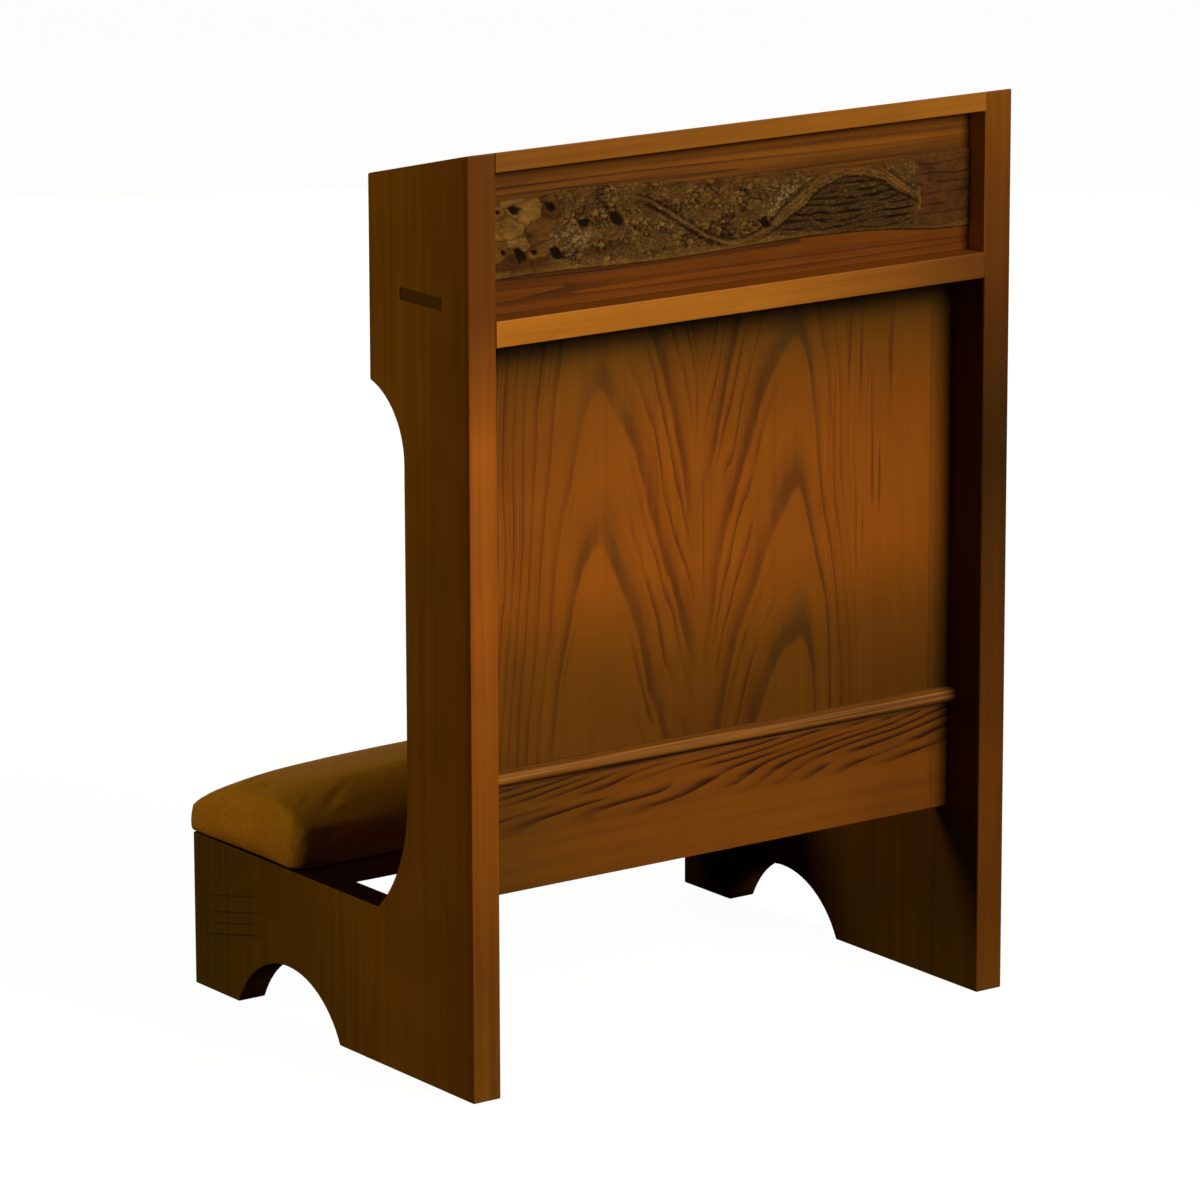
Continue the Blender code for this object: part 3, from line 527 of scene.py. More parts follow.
def fine_strokes(tree, place, across, up, from_seam):
    """Darkness of short strokes, on the plain wood at the right and along the seam of the hearts."""
    strokes = stretched(tree, place, "Z", STROKE_MM, 0.0, 53.0)
    lines = add(tree, "ShaderNodeValToRGB", strokes, stops=STROKE_STOPS)
    start = add(tree, "ShaderNodeMapRange", across, *STROKES_START_MM)
    end = add(tree, "ShaderNodeMapRange", across, *STROKES_END_MM, 1.0, 0.0)
    on_right = add(tree, "ShaderNodeMath", start, end, operation="MULTIPLY")
    by_seam = add(tree, "ShaderNodeMapRange", from_seam, *STROKES_BY_SEAM)
    shown = add(tree, "ShaderNodeMath", on_right, by_seam, operation="MAXIMUM")
    above = add(tree, "ShaderNodeMapRange", up, *STROKES_FOOT_MM)
    for part in (shown, above):
        lines = add(tree, "ShaderNodeMath", lines, part, operation="MULTIPLY")
    return lines


print("strokes are", STROKE_MM[0], "mm wide and", STROKE_MM[1], "mm long")

# %% Figure of the main panel
WANDER_MM = (-9.0, 9.0)
RIPPLE_MM = (-2.2, 2.2)
SEAM_ROUND = 0.08
SEAM_FADE = (0.1, 1.0, 0.12, 1.0)
ARCH_STOPS = ((0.0, 0.0), (0.08, 0.85), (0.16, 0.8), (0.30, 0.3), (0.5, 0.0))
ARCHES_KEPT = (0.36, 0.56, 0.45, 1.0)
FINE_LINES = 3.0
FINE_STOPS = ((0.0, 0.1), (0.07, 0.95), (0.16, 0.6), (0.40, 0.0))
FINE_KEPT = (0.42, 0.56, 0.05, 1.0)
FLANK_MM = (18.0, 55.0)
PLAIN_WOOD = (135.0, 178.0, 1.0, 0.12)
HEART_STAIN = "3E2508"


def cathedral_rings(tree, place, stain):
    """Darkness of the arches of two hearts, with fine lines on their flanks, and its colour."""
    slow = stretched(tree, place, "Z", (120.0, 240.0), 1.0, 21.0, WANDER_MM)
    quick = stretched(tree, place, "Z", (16.0, 120.0), 2.0, 25.0, RIPPLE_MM)
    shift = add(tree, "ShaderNodeMath", slow, quick, operation="ADD")
    x, _, z = mm_parts(tree, place)
    across = add(tree, "ShaderNodeMath", x, shift, operation="ADD")
    fields, sides, ends = heart_arches(tree, across, z)
    field = add(tree, "ShaderNodeMath", *fields, SEAM_ROUND, operation="SMOOTH_MIN")
    apart = add(tree, "ShaderNodeMath", *fields, operation="SUBTRACT")
    from_seam = add(tree, "ShaderNodeMath", apart, operation="ABSOLUTE")
    arch = add(tree, "ShaderNodeMath", field, operation="FRACT")
    arches = add(tree, "ShaderNodeValToRGB", arch, stops=ARCH_STOPS)
    arches.color_ramp.interpolation = "EASE"
    uneven = stretched(tree, place, "Z", (60.0, 400.0), 1.0, 33.0)
    fine = add(tree, "ShaderNodeMath", field, FINE_LINES, uneven, operation="MULTIPLY_ADD")
    line = add(tree, "ShaderNodeMath", fine, operation="FRACT")
    lines = add(tree, "ShaderNodeValToRGB", line, stops=FINE_STOPS)
    near = add(tree, "ShaderNodeMath", *sides, operation="MINIMUM")
    flank = add(tree, "ShaderNodeMapRange", near, *FLANK_MM)
    patches = stretched(tree, place, "Z", (34.0, 200.0), 2.0, 37.0)
    kept = add(tree, "ShaderNodeMapRange", patches, *FINE_KEPT)
    figure = add(tree, "ShaderNodeMath", flank, kept, operation="MULTIPLY")
    on_flank = add(tree, "ShaderNodeMath", lines, figure, operation="MULTIPLY")
    faded = add(tree, "ShaderNodeMapRange", patches, *ARCHES_KEPT)
    on_arch = add(tree, "ShaderNodeMath", arches, faded, operation="MULTIPLY")
    rings = add(tree, "ShaderNodeMath", on_arch, on_flank, operation="MAXIMUM")
    below = add(tree, "ShaderNodeMath", *ends, operation="MINIMUM")
    plain = add(tree, "ShaderNodeMapRange", x, *PLAIN_WOOD)
    seam = add(tree, "ShaderNodeMapRange", from_seam, *SEAM_FADE)
    for part in (below, plain, seam):
        rings = add(tree, "ShaderNodeMath", rings, part, operation="MULTIPLY")
    strokes = fine_strokes(tree, place, x, z, from_seam)
    darkness = add(tree, "ShaderNodeMath", rings, strokes, operation="MAXIMUM")
    smoky = {0: flank, 6: linear(HEART_STAIN), 7: stain}
    return darkness, add(tree, "ShaderNodeMix", sockets=smoky, data_type="RGBA").outputs[2]


print("arches of the panel are", ARCH_STEP_MM, "mm apart")

# %% Main panel
END_X = 0.275
# Painted shade on the front of the main panel: a dark band at the top under the shelf rail, and darker towards
# the foot.
panel_height = (
    (0.291, (0.43, 0.53, 0.55)),
    (0.37, (0.60, 0.71, 0.6)),
    (0.45, UNTINTED),
    (0.54, UNTINTED),
    (0.60, (0.75, 0.81, 0.8)),
    (0.630, (0.60, 0.70, 0.6)),
    (0.654, (0.40, 0.54, 0.4)),
    (0.670, (0.22, 0.34, 0.3)),
    (0.690, (0.18, 0.30, 0.3)),
)
# Painted shade along the front of the main panel: darker towards both ends, with a dark line near the right
# end and a greyer, darker strip beyond it.
panel_length = (
    (-END_X, (0.88, 0.92, 0.9)),
    (-0.12, UNTINTED),
    (0.10, (0.88, 0.88, 0.9)),
    (0.2500, (0.78, 0.78, 0.8)),
    (0.2508, (0.45, 0.42, 0.5)),
    (0.2520, (0.66, 0.72, 1.1)),
    (END_X, (0.58, 0.62, 0.8)),
)
panel_oak = stained_oak(
    "stained oak, two-heart panel",
    "80460C",
    "3E1603",
    "Z",
    9.0,
    rings=cathedral_rings,
    shares=(0.70, 0.06, 0.15),
    patina_and_shade=(("-Y", "Z", panel_height), ("-Y", "X", panel_length)),
)
dress(panel_oak, "main_panel")

# %% [markdown]
# The lower rail has a single heart that lies along it. Its rings sweep up from the left and flatten out
# under the ledge, and below them the wood is plain. The ledge is a strip of the same tree.

# %% Figure of the lower rail and the ledge
RAIL_HEART_MM = 218.0
RAIL_WANDER_MM = (-7.0, 7.0)
SWEEP = (2.2, 0.045)
SWEEP_ROUND_MM = 4.0
SWEEP_STEP_MM = 50.0
SWEEP_DRIFT = (-0.9, 0.9)
SWEEP_STOPS = ((0.0, 0.0), (0.10, 1.0), (0.28, 0.8), (0.55, 0.15), (1.0, 0.0))
SWEEP_FADE_MM = (1.0, 15.0)
SWEEP_KEPT = (0.36, 0.54, 0.10, 1.0)
STRIP_MM = (2.6, 240.0)
STRIP_STOPS = ((0.40, 0.0), (0.60, 1.0))


def sweeping_rings(tree, place, stain):
    """Darkness of rings that rise to the right, above the heart of the rail, and its colour."""
    shift = stretched(tree, place, "X", (70.0, 300.0), 2.0, 41.0, RAIL_WANDER_MM)
    x, _, z = mm_parts(tree, place)
    height = add(tree, "ShaderNodeMath", z, shift, operation="ADD")
    above = add(tree, "ShaderNodeMath", height, RAIL_HEART_MM, operation="SUBTRACT")
    reach = add(tree, "ShaderNodeMath", above, 0.0, SWEEP_ROUND_MM, operation="SMOOTH_MAX")
    slope = add(tree, "ShaderNodeMath", reach, SWEEP[1], SWEEP[0], operation="MULTIPLY_ADD")
    lean = add(tree, "ShaderNodeMath", reach, slope, operation="MULTIPLY")
    level = add(tree, "ShaderNodeMath", lean, x, operation="SUBTRACT")
    drift = stretched(tree, place, "X", (46.0, 240.0), 1.0, 43.0, SWEEP_DRIFT)
    field = add(tree, "ShaderNodeMath", level, 1 / SWEEP_STEP_MM, drift, operation="MULTIPLY_ADD")
    saw = add(tree, "ShaderNodeMath", field, operation="FRACT")
    lines = add(tree, "ShaderNodeValToRGB", saw, stops=SWEEP_STOPS)
    fade = add(tree, "ShaderNodeMapRange", above, *SWEEP_FADE_MM)
    patches = stretched(tree, place, "X", (12.0, 150.0), 1.0, 45.0)
    kept = add(tree, "ShaderNodeMapRange", patches, *SWEEP_KEPT)
    figure = add(tree, "ShaderNodeMath", fade, kept, operation="MULTIPLY")
    return add(tree, "ShaderNodeMath", lines, figure, operation="MULTIPLY"), stain


def strip_lines(tree, place, stain):
    """Darkness of the fine lines along a strip that was sawn across its rings, and its colour."""
    lines = stretched(tree, place, "X", STRIP_MM, 1.0, 57.0)
    return add(tree, "ShaderNodeValToRGB", lines, stops=STRIP_STOPS), stain


print("rings of the rail are", SWEEP_STEP_MM, "mm apart along it")

# %% Lower rail and ledge
# Painted light and shade along the front of the lower rail: darker at the left end, a painted pool of light in
# the middle, a dark line near the right end and a painted highlight on the strip beyond it.
rail_length = (
    (-END_X, (0.62, 0.8, 0.8)),
    (-0.17, (0.92, 0.98, 0.9)),
    (-0.02, (1.15, 1.1, 1.0)),
    (0.2555, (0.90, 0.88, 0.9)),
    (0.2562, (0.5, 0.48, 0.5)),
    (0.2572, (0.95, 1.0, 1.1)),
    (END_X, (1.05, 1.1, 1.2)),
)
rail_oak = stained_oak(
    "stained oak, lower rail",
    "64390A",
    "281103",
    "X",
    15.0,
    rings=sweeping_rings,
    shares=(0.95, 0.08, 0.2),
    patina_and_shade=(("-Y", "X", rail_length),),
)
# Painted shade: the top of the ledge darker than its nose, and its front darker towards the right end.
LEDGE_TOP_SHADE = (0.78, 0.78, 0.8)
ledge_top = ((0.25, LEDGE_TOP_SHADE), (0.30, LEDGE_TOP_SHADE))
ledge_length = ((-END_X, UNTINTED), (0.0, (0.94, 0.94, 1.0)), (END_X, (0.64, 0.68, 1.0)))
ledge_oak = stained_oak(
    "stained oak, ledge",
    "8C5B1F",
    "4E2A0A",
    "X",
    18.0,
    rings=strip_lines,
    shares=(0.65, 0.15, 0.35),
    patina_and_shade=(("+Z", "Z", ledge_top), ("-Y", "X", ledge_length)),
)
dress(rail_oak, "lower_rail")
dress(ledge_oak, "ledge_moulding")

# %% [markdown]
# The desk, the shelf rail and the frieze board are straight-grained, with the grain from side to side. The
# frieze board has bold dark streaks above and below its rough band. Pieces that are out of sight have a thin
# coat of varnish only, so they are paler and drier.

# %% Boards that run from side to side
# Painted shade: the front of the desk darker towards the left end.
desk_length = ((-END_X, (0.84, 0.80, 0.9)), (END_X, UNTINTED))
desk_shade = (("-Y", "X", desk_length),)
dress(stained_oak("stained oak, desk", "7C4E11", "5A330B", "X", 23.0, patina_and_shade=desk_shade), "desk_board")
# Painted shade: the top of the shelf rail under the desk, and its front darker towards the right end.
SHELF_TOP_SHADE = (0.42, 0.34, 0.3)
shelf_length = ((-END_X, UNTINTED), (0.0, (0.74, 0.76, 0.8)), (END_X, (0.31, 0.28, 0.4)))
shelf_top = ((0.690, UNTINTED), (0.712, SHELF_TOP_SHADE), (0.720, SHELF_TOP_SHADE))
shelf_shade = (("-Y", "X", shelf_length), ("+Z", "Z", shelf_top))
shelf_oak = stained_oak("stained oak, shelf rail", "9C6118", "70400D", "X", 27.0, patina_and_shade=shelf_shade)
frieze_height = (
    (0.714, (0.67, 0.54, 0.25)),
    (0.728, (0.67, 0.54, 0.25)),
    (0.742, (0.57, 0.48, 0.25)),
    (0.814, (0.62, 0.64, 0.5)),
    (0.836, (1.15, 1.12, 0.9)),
)
frieze_oak = stained_oak(
    "stained oak, frieze",
    "70420C",
    "2A1304",
    "X",
    31.0,
    shares=(0.68, 0.12, 0.55),
    patina_and_shade=(("-Y", "Z", frieze_height),),
)
dress(shelf_oak, "shelf_rail")
dress(frieze_oak, "frieze_panel")

# %% Boards out of sight
THIN_COAT = ("7A5224", "4A2A08")
THIN_SHARES = (0.15, 0.08, 0.15)
kneeler_oak = stained_oak("stained oak, kneeler", "603812", "381C08", "X", 35.0)
thin_oak = stained_oak("thinly varnished oak", *THIN_COAT, "X", 39.0, shares=THIN_SHARES, end=0.95)
cleat_oak = stained_oak("thinly varnished oak, cleats", "7A5224", "4C2E10", "Y", 43.0)
dress(kneeler_oak, "kneeler_board", "kneeler_rear_rail")
dress(thin_oak, "book_shelf")
dress(cleat_oak, "left_kneeler_cleat", "right_kneeler_cleat")

# %% [markdown]
# Dowels are turned from beech, which is pale and has short fine flecks. The board in the pad is plywood:
# thin sheets of wood with the grain turned at each glue line, so its edges show stripes.

# %% Beech and plywood
PLY_MM = 1.5
PLY_STOPS = ((0.48, 1.0), (0.52, 0.62))
beech = stained_oak("beech", "D8B084", "B98A58", "X", 47.0, shares=(0.1, 0.35, 0.2))
dress(beech, *[name for name in nodes if "_dowel_" in name])

plywood = stained_oak("birch plywood", "D9BC8C", "AD8550", "X", 51.0, shares=(0.2, 0.25, 0.3))
plies = plywood.node_tree
ply_up = mm_parts(plies, add(plies, "ShaderNodeTexCoord").outputs["Object"])["Z"]
ply_number = add(plies, "ShaderNodeMath", ply_up, 0.5 / PLY_MM, operation="MULTIPLY")
ply_side = add(plies, "ShaderNodeMath", ply_number, operation="FRACT")
ply_tone = add(plies, "ShaderNodeValToRGB", ply_side, stops=PLY_STOPS)
coat(plies, {"Base Color": tinted(plies, colour_of(plies), 1.0, ply_tone)})
dress(plywood, "pad_board")

# %% [markdown]
# The frieze carries a strip with a rough, bark-like relief: knots with holes at the left, grainy bark in the
# middle, a root that winds along it, and cracked layers under its bend. A sculptor would cut this freely.
# Here a height is worked out for each point of a fine grid from simple rules, with noise for the bark, and
# each rule also lays down its own pigment, so painted shade keeps the hollows dark and painted light keeps the
# ridges pale. Sizes are in mm, and bare numbers in the sums are shares.

# %% Tools for bark
PEBBLE_TABLE = 97


def ramp(value, low, high):
    """A smooth step from 0 at low to 1 at high."""
    share = np.clip((value - low) / (high - low), 0.0, 1.0)
    return share * share * (3 - 2 * share)


def bark_noise(x, z, size_x, size_z, octaves, seed):
    """Smooth noise from about -1 to 1, with its grains of the given size in mm."""
    points = zip((x / size_x).ravel(), (z / size_z).ravel())
    values = [noise.fractal(Vector((px, pz, seed)), 0.8, 2.0, octaves) for px, pz in points]
    return np.array(values).reshape(x.shape)


def pebble_cells(x, z, size_x, size_z, seed):
    """Cells like pebbles: how far a point lies inside its cell, and for each cell a tone from 0 to 1."""
    table = np.random.default_rng(seed).random((PEBBLE_TABLE, PEBBLE_TABLE, 3))
    place_x = x / size_x
    place_z = z / size_z
    nearest = np.full(x.shape, np.inf)
    second = np.full(x.shape, np.inf)
    tone = np.zeros(x.shape)
    for i in (-1, 0, 1):
        for j in (-1, 0, 1):
            column = np.floor(place_x).astype(int) + i
            row = np.floor(place_z).astype(int) + j
            drawn = table[column % PEBBLE_TABLE, row % PEBBLE_TABLE]
            distance = np.hypot(column + drawn[..., 0] - place_x, row + drawn[..., 1] - place_z)
            closer = distance < nearest
            second = np.where(closer, nearest, np.minimum(second, distance))
            tone = np.where(closer, drawn[..., 2], tone)
            nearest = np.minimum(nearest, distance)
    return second - nearest, tone


def from_middle(place):
    """How far a place lies from the middle of its step, from 0 there to 1 at the next line."""
    return np.abs(place % 1.0 - 0.5) * 2


def over(base, share, top):
    """One thing laid over another, by a share from 0 to 1."""
    return base * (1 - share) + top * share


print("pebbles repeat after", PEBBLE_TABLE, "cells")

# %% Grid of the band
BAND_STEP_MM = 1.0
BAND_ROWS = 76
BAND_EDGES = (
    # height, rise, where it starts and ends along the band, height and length of the ripples
    (744.0, -8.0, 150.0, 275.0, 1.5, 46.0),
    (817.0, -9.0, -180.0, 120.0, 1.6, 31.0),
)
half_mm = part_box("frieze_carving")[1].x / MM
columns = round(2 * half_mm / BAND_STEP_MM)
u, v = np.meshgrid(np.linspace(-half_mm, half_mm, columns + 1), np.linspace(0.0, 1.0, BAND_ROWS + 1))
low_edge, high_edge = [
    level + rise * ramp(u, start, end) + swell * np.sin(u / length)
    for level, rise, start, end, swell, length in BAND_EDGES
]
w = low_edge + v * (high_edge - low_edge)
print("relief grid:", u.shape)

# %% Bark, pebbles and knots
ROUGH_MM = (18.0, 13.0)
BARK_GRAIN_MM = (3.4, 2.6)
STONY_MM = (26.0, 16.0)
LOBE_MM = (31.0, 19.0)
STONE_MM = (7.5, 4.8)
GRIT_MM = (3.8, 2.8)
LOBES_END_MM = (-208.0, -186.0)
rough = bark_noise(u, w, *ROUGH_MM, 4, 3.0)
grain = bark_noise(u, w, *BARK_GRAIN_MM, 2, 9.0)
stony = ramp(bark_noise(u, w, *STONY_MM, 2, 31.0), -0.3, 0.2)
lobe_in, lobe_tone = pebble_cells(u + 7 * rough, w + 4 * rough, *LOBE_MM, 11)
stone_in, stone_tone = pebble_cells(u + 3 * rough, w + 2 * grain, *STONE_MM, 12)
grit_in, grit_tone = pebble_cells(u + 2 * grain, w + rough, *GRIT_MM, 13)
stone_gaps = 1 - ramp(stone_in, 0.04, 0.30)
grit_gaps = 1 - ramp(grit_in, 0.05, 0.40)
gaps = stony * stone_gaps + (1 - 0.6 * stony) * 0.7 * grit_gaps
lobes = 1 - ramp(u + 12 * rough, *LOBES_END_MM)
lobe_outline = 1 - ramp(lobe_in, 0.03, 0.12)
print("stony share of the band:", round(float(stony.mean()), 2))

# %% Winding root
ROOT_LENGTH_MM = 258.0
ROOT_CREST_MM = 135.0
ROOT_MIDDLE_MM = 777.0
ROOT_SWING_MM = 27.0
ROOT_START_MM = (-125.0, -90.0)
ROOT_END_MM = (208.0, 224.0)
ROOT_HALF_MM = 2.2
ROOT_SWELL_MM = 3.8
ROOT_TAPER_MM = 2.8
STRAND_MM = 2.6
root_line = ROOT_MIDDLE_MM + ROOT_SWING_MM * np.cos(2 * np.pi * (u - ROOT_CREST_MM) / ROOT_LENGTH_MM)
root_slope = np.gradient(root_line[0], u[0])
away = (w - root_line) / np.sqrt(1 + root_slope**2) + 1.2 * rough
root_on = ramp(u, *ROOT_START_MM) * (1 - ramp(u, *ROOT_END_MM))
root_half = ROOT_HALF_MM + ROOT_SWELL_MM * ramp(u, 10.0, 80.0) - ROOT_TAPER_MM * ramp(u, 165.0, 215.0)
root = root_on * np.exp(-((away / root_half) ** 4))
strand_step = STRAND_MM + 1.2 * ramp(u, 10.0, 70.0)
strands = 0.5 + 0.5 * np.cos(2 * np.pi * away / strand_step + 2.0 * rough + 0.8 * grain)
gully = root_on * np.exp(-(((np.abs(away) - root_half - 1.2) / 1.3) ** 2))
print("widest half of the root in mm:", round(float(root_half.max()), 1))

# %% Cracked layers and planks
LAYERS_MM = (30.0, 70.0, 203.0, 213.0)
LAYER_MM = 6.4
POST_MM = 211.0
PLANK_MM = (31.0, 9.4)
under = ramp(u, *LAYERS_MM[:2]) * (1 - ramp(u, *LAYERS_MM[2:])) * ramp(-away, 4.0, 8.0)
bend = bark_noise(u, w, 44.0, 13.0, 2, 7.0)
broken = ramp(bark_noise(u, w, 24.0, 6.0, 2, 17.0), -0.5, 0.1)
layer_place = (w + 3.4 * bend + 0.12 * (root_line - ROOT_MIDDLE_MM)) / LAYER_MM
layer_cracks = broken * ramp(from_middle(layer_place), 0.50, 0.90)
layer_fibres = ramp(from_middle(2.7 * layer_place + 0.5 * grain), 0.5, 0.95)
planks = ramp(u + 3 * rough, POST_MM - 6.0, POST_MM + 6.0)
plank_place = w / PLANK_MM[1] + 0.35 * bend
plank_lines = broken * ramp(from_middle(plank_place), 0.72, 0.98)
butt_joints = ramp(from_middle(u / PLANK_MM[0] + 0.37 * np.floor(plank_place)), 0.94, 0.99)
plank_cut = np.maximum(plank_lines, 0.5 * butt_joints)
print("cracked share of the layers:", round(float((under * layer_cracks).sum() / under.sum()), 2))

# %% Holes, grey patches and splinters
KNOT_HOLES = (
    # place along the band and height in mm, half width and half height in mm
    (-240.0, 806.0, 6.0, 4.4),
    (-201.0, 805.0, 5.0, 4.4),
    (-164.0, 786.0, 5.6, 4.6),
    (-129.0, 786.0, 6.4, 7.0),
    (-234.0, 765.0, 5.6, 7.0),
    (-219.0, 766.0, 3.4, 2.8),
    (-195.0, 763.0, 6.8, 5.8),
    (-252.0, 769.0, 2.6, 2.6),
    (-258.0, 806.0, 2.4, 2.0),
    (36.0, 765.0, 5.0, 5.6),
)
HOLE_POWER = 2.6
GREY_PATCHES = (
    # place along the band and height, half width and half height, lean, strength
    (-178.0, 775.0, 20.0, 9.0, 0.0, 1.0),
    (-62.0, 777.0, 16.0, 7.0, 0.0, 0.7),
    (58.0, 787.0, 13.0, 13.0, 0.7, 0.8),
)
SPLINTERS = (
    # place along the band, half width, foot and tip in mm
    (207.0, 1.2, 789.0, 808.0),
    (214.0, 1.8, 755.0, 780.0),
)
SPLINTER_END_MM = 4.0
holes = np.zeros_like(u)
ragged = bark_noise(u, w, 6.0, 5.0, 2, 23.0)
for hole_x, hole_z, half_width, half_height in KNOT_HOLES:
    across = np.abs((u - hole_x + 0.5 * (w - hole_z)) / half_width) ** HOLE_POWER
    upright = np.abs((w - hole_z) / half_height) ** HOLE_POWER
    reach = (across + upright) ** (1 / HOLE_POWER) * (1 + 0.4 * ragged)
    holes = np.maximum(holes, 1 - ramp(reach, 0.75, 1.05))
grey_patch = np.zeros_like(u)
for patch_x, patch_z, half_width, half_height, patch_lean, strength in GREY_PATCHES:
    across = (u - patch_x - patch_lean * (w - patch_z)) / half_width
    grey_patch += strength * np.exp(-(across**2) - ((w - patch_z) / half_height) ** 2)
post = np.zeros_like(u)
for splinter, half_width, foot, tip in SPLINTERS:
    upright = np.exp(-(((u - splinter - rough) / half_width) ** 2))
    ends = ramp(w, foot, foot + SPLINTER_END_MM) * (1 - ramp(w, tip - SPLINTER_END_MM, tip))
    post = np.maximum(post, upright * ends)
print("holes:", len(KNOT_HOLES), "grey patches:", len(GREY_PATCHES), "splinters:", len(SPLINTERS))

# %% Height of the relief
BAND_RELIEF_MM = 5.0
middle = (1 - under) * (1 - planks) * (1 - lobes)
stones = 0.9 * stony * ramp(stone_in, 0.0, 0.5) + 0.4 * ramp(grit_in, 0.0, 0.5) - 0.5 * gaps
height = 1.8 + 0.8 * rough + 0.3 * grain + middle * stones
height += under * (0.5 - 1.5 * layer_cracks - 0.4 * layer_fibres)
height = over(height, lobes, 2.2 + 0.7 * lobe_tone + 0.2 * rough - 0.9 * lobe_outline)
height = over(height, planks, 1.9 + 0.25 * grain - 0.8 * plank_cut)
height += root * (1.5 + 0.7 * strands) - 0.8 * gully + 0.9 * post
height = over(height, holes, 0.2)
lip = np.exp(-((v / 0.08) ** 2)) * (1 - 0.6 * ramp(u, 20.0, 120.0))
height = over(height, lip, 2.2 + 0.3 * rough)
height *= ramp(v, 0.0, 0.03) * (1 - ramp(v, 0.97, 1.0))
height = np.clip(height, 0.0, BAND_RELIEF_MM)
print("highest point of the relief in mm:", round(float(height.max()), 2))

# %% [markdown]
# The pigments go on like coats of paint, from the bark up to the holes, each where its own rule is strong. The
# dark crack pigment is painted shade in the hollows: between the pebbles, round the lobes, in the cracks of
# the layers and the planks, in the gully along the root and in the holes; the root pigment on the strands is a
# painted highlight on their ridges.
# The result is one colour for each point of the grid, so it stays with the relief wherever that goes.

# %% Pigments of the rough band
PIGMENTS = {
    "bark": "4E3614",
    "crack": "100702",
    "tan": "523710",
    "pale": "60451A",
    "wood": "3A2008",
    "root": "66481C",
    "grey": "7C6A46",
    "speck": "6A4E22",
    "layer": "35240C",
    "plank": "3F250B",
    "oak": "4A2B09",
}
# Painted light and shade: the crack pigment shades the hollows, and the root pigment lights the ridges of the
# strands.
layers_of_paint = (
    ("speck", 0.6 * ramp(stone_tone, 0.5, 0.9) * stony + 0.4 * ramp(grit_tone, 0.6, 0.9)),
    ("wood", 0.7 * (1 - ramp(stone_tone, 0.1, 0.4)) * stony),
    ("crack", 0.8 * gaps),
    ("tan", lobes),
    ("wood", lobes * (1 - ramp(lobe_tone, 0.28, 0.36))),
    ("pale", lobes * ramp(lobe_tone, 0.72, 0.80)),
    ("crack", 0.45 * lobes * lobe_outline),
    ("grey", 0.9 * grey_patch * ramp(grit_in, 0.05, 0.35) * ramp(grit_tone, 0.15, 0.6)),
    ("layer", under),
    ("root", 0.4 * under * (1 - layer_cracks) * ramp(grain, 0.0, 0.6)),
    ("crack", under * np.maximum(layer_cracks, 0.6 * layer_fibres)),
    ("crack", 0.8 * gully),
    ("layer", 0.65 * root),
    ("root", root * (0.1 + 0.75 * strands * ramp(grain, -0.7, 0.1))),
    ("plank", planks),
    ("crack", planks * 0.6 * plank_cut),
    ("pale", 0.8 * post),
    ("root", 0.7 * lip),
    ("oak", 0.75 * ramp(v, 0.80, 0.98) * ramp(u, -120.0, 60.0)),
    ("crack", holes),
)
paint = np.ones((*u.shape, 4)) * np.array(linear(PIGMENTS["bark"]))
for pigment, amount in layers_of_paint:
    amount = np.clip(amount, 0.0, 1.0)[..., None]
    paint = over(paint, amount, np.array(linear(PIGMENTS[pigment])))
paint[..., :3] *= (0.9 + 0.3 * rough)[..., None]
print("coats of pigment:", len(layers_of_paint))

# %% [markdown]
# The grid becomes a closed strip: its rim is drawn back to the frieze board and the back is filled. It sits
# a hair in front of the board, so the two faces don't flicker.

# %% Mesh of the rough band
TOUCH_MM = 0.2
face_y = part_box("frieze_panel")[0].y
front_y = face_y - (height + TOUCH_MM) * MM
points = np.stack([u * MM, front_y, w * MM], axis=-1).reshape(-1, 3)
band_mesh = bpy.data.meshes.new("frieze_relief")
index = np.arange(points.shape[0]).reshape(u.shape)
quads = np.stack([index[:-1, :-1], index[:-1, 1:], index[1:, 1:], index[1:, :-1]], axis=-1).reshape(-1, 4)
band_mesh.from_pydata(points.tolist(), [], quads.tolist())
colours = band_mesh.color_attributes.new("pigment", "FLOAT_COLOR", "POINT")
colours.data.foreach_set("color", np.clip(paint, 0.0, 1.0).ravel())
shape = bmesh.new()
shape.from_mesh(band_mesh)
rim = [edge for edge in shape.edges if edge.is_boundary]
backs = bmesh.ops.extrude_edge_only(shape, edges=rim)["geom"]
for vert in backs:
    if isinstance(vert, bmesh.types.BMVert):
        vert.co.y = face_y - 0.5 * TOUCH_MM * MM
bmesh.ops.holes_fill(shape, edges=[edge for edge in shape.edges if edge.is_boundary])
bmesh.ops.recalc_face_normals(shape, faces=shape.faces)
shape.to_mesh(band_mesh)
shape.free()
band_mesh.shade_smooth()
band = placed("frieze_relief", band_mesh)
print("rough band faces:", len(band_mesh.polygons))

# %% [markdown]
# The wood of the band is dry and has lost its varnish. A finish of nodes alone couldn't know where the root
# or a hole is, so its colour comes from the pigment that was stored with each point. Fine fibres break it up
# between the points, in tone and in relief.

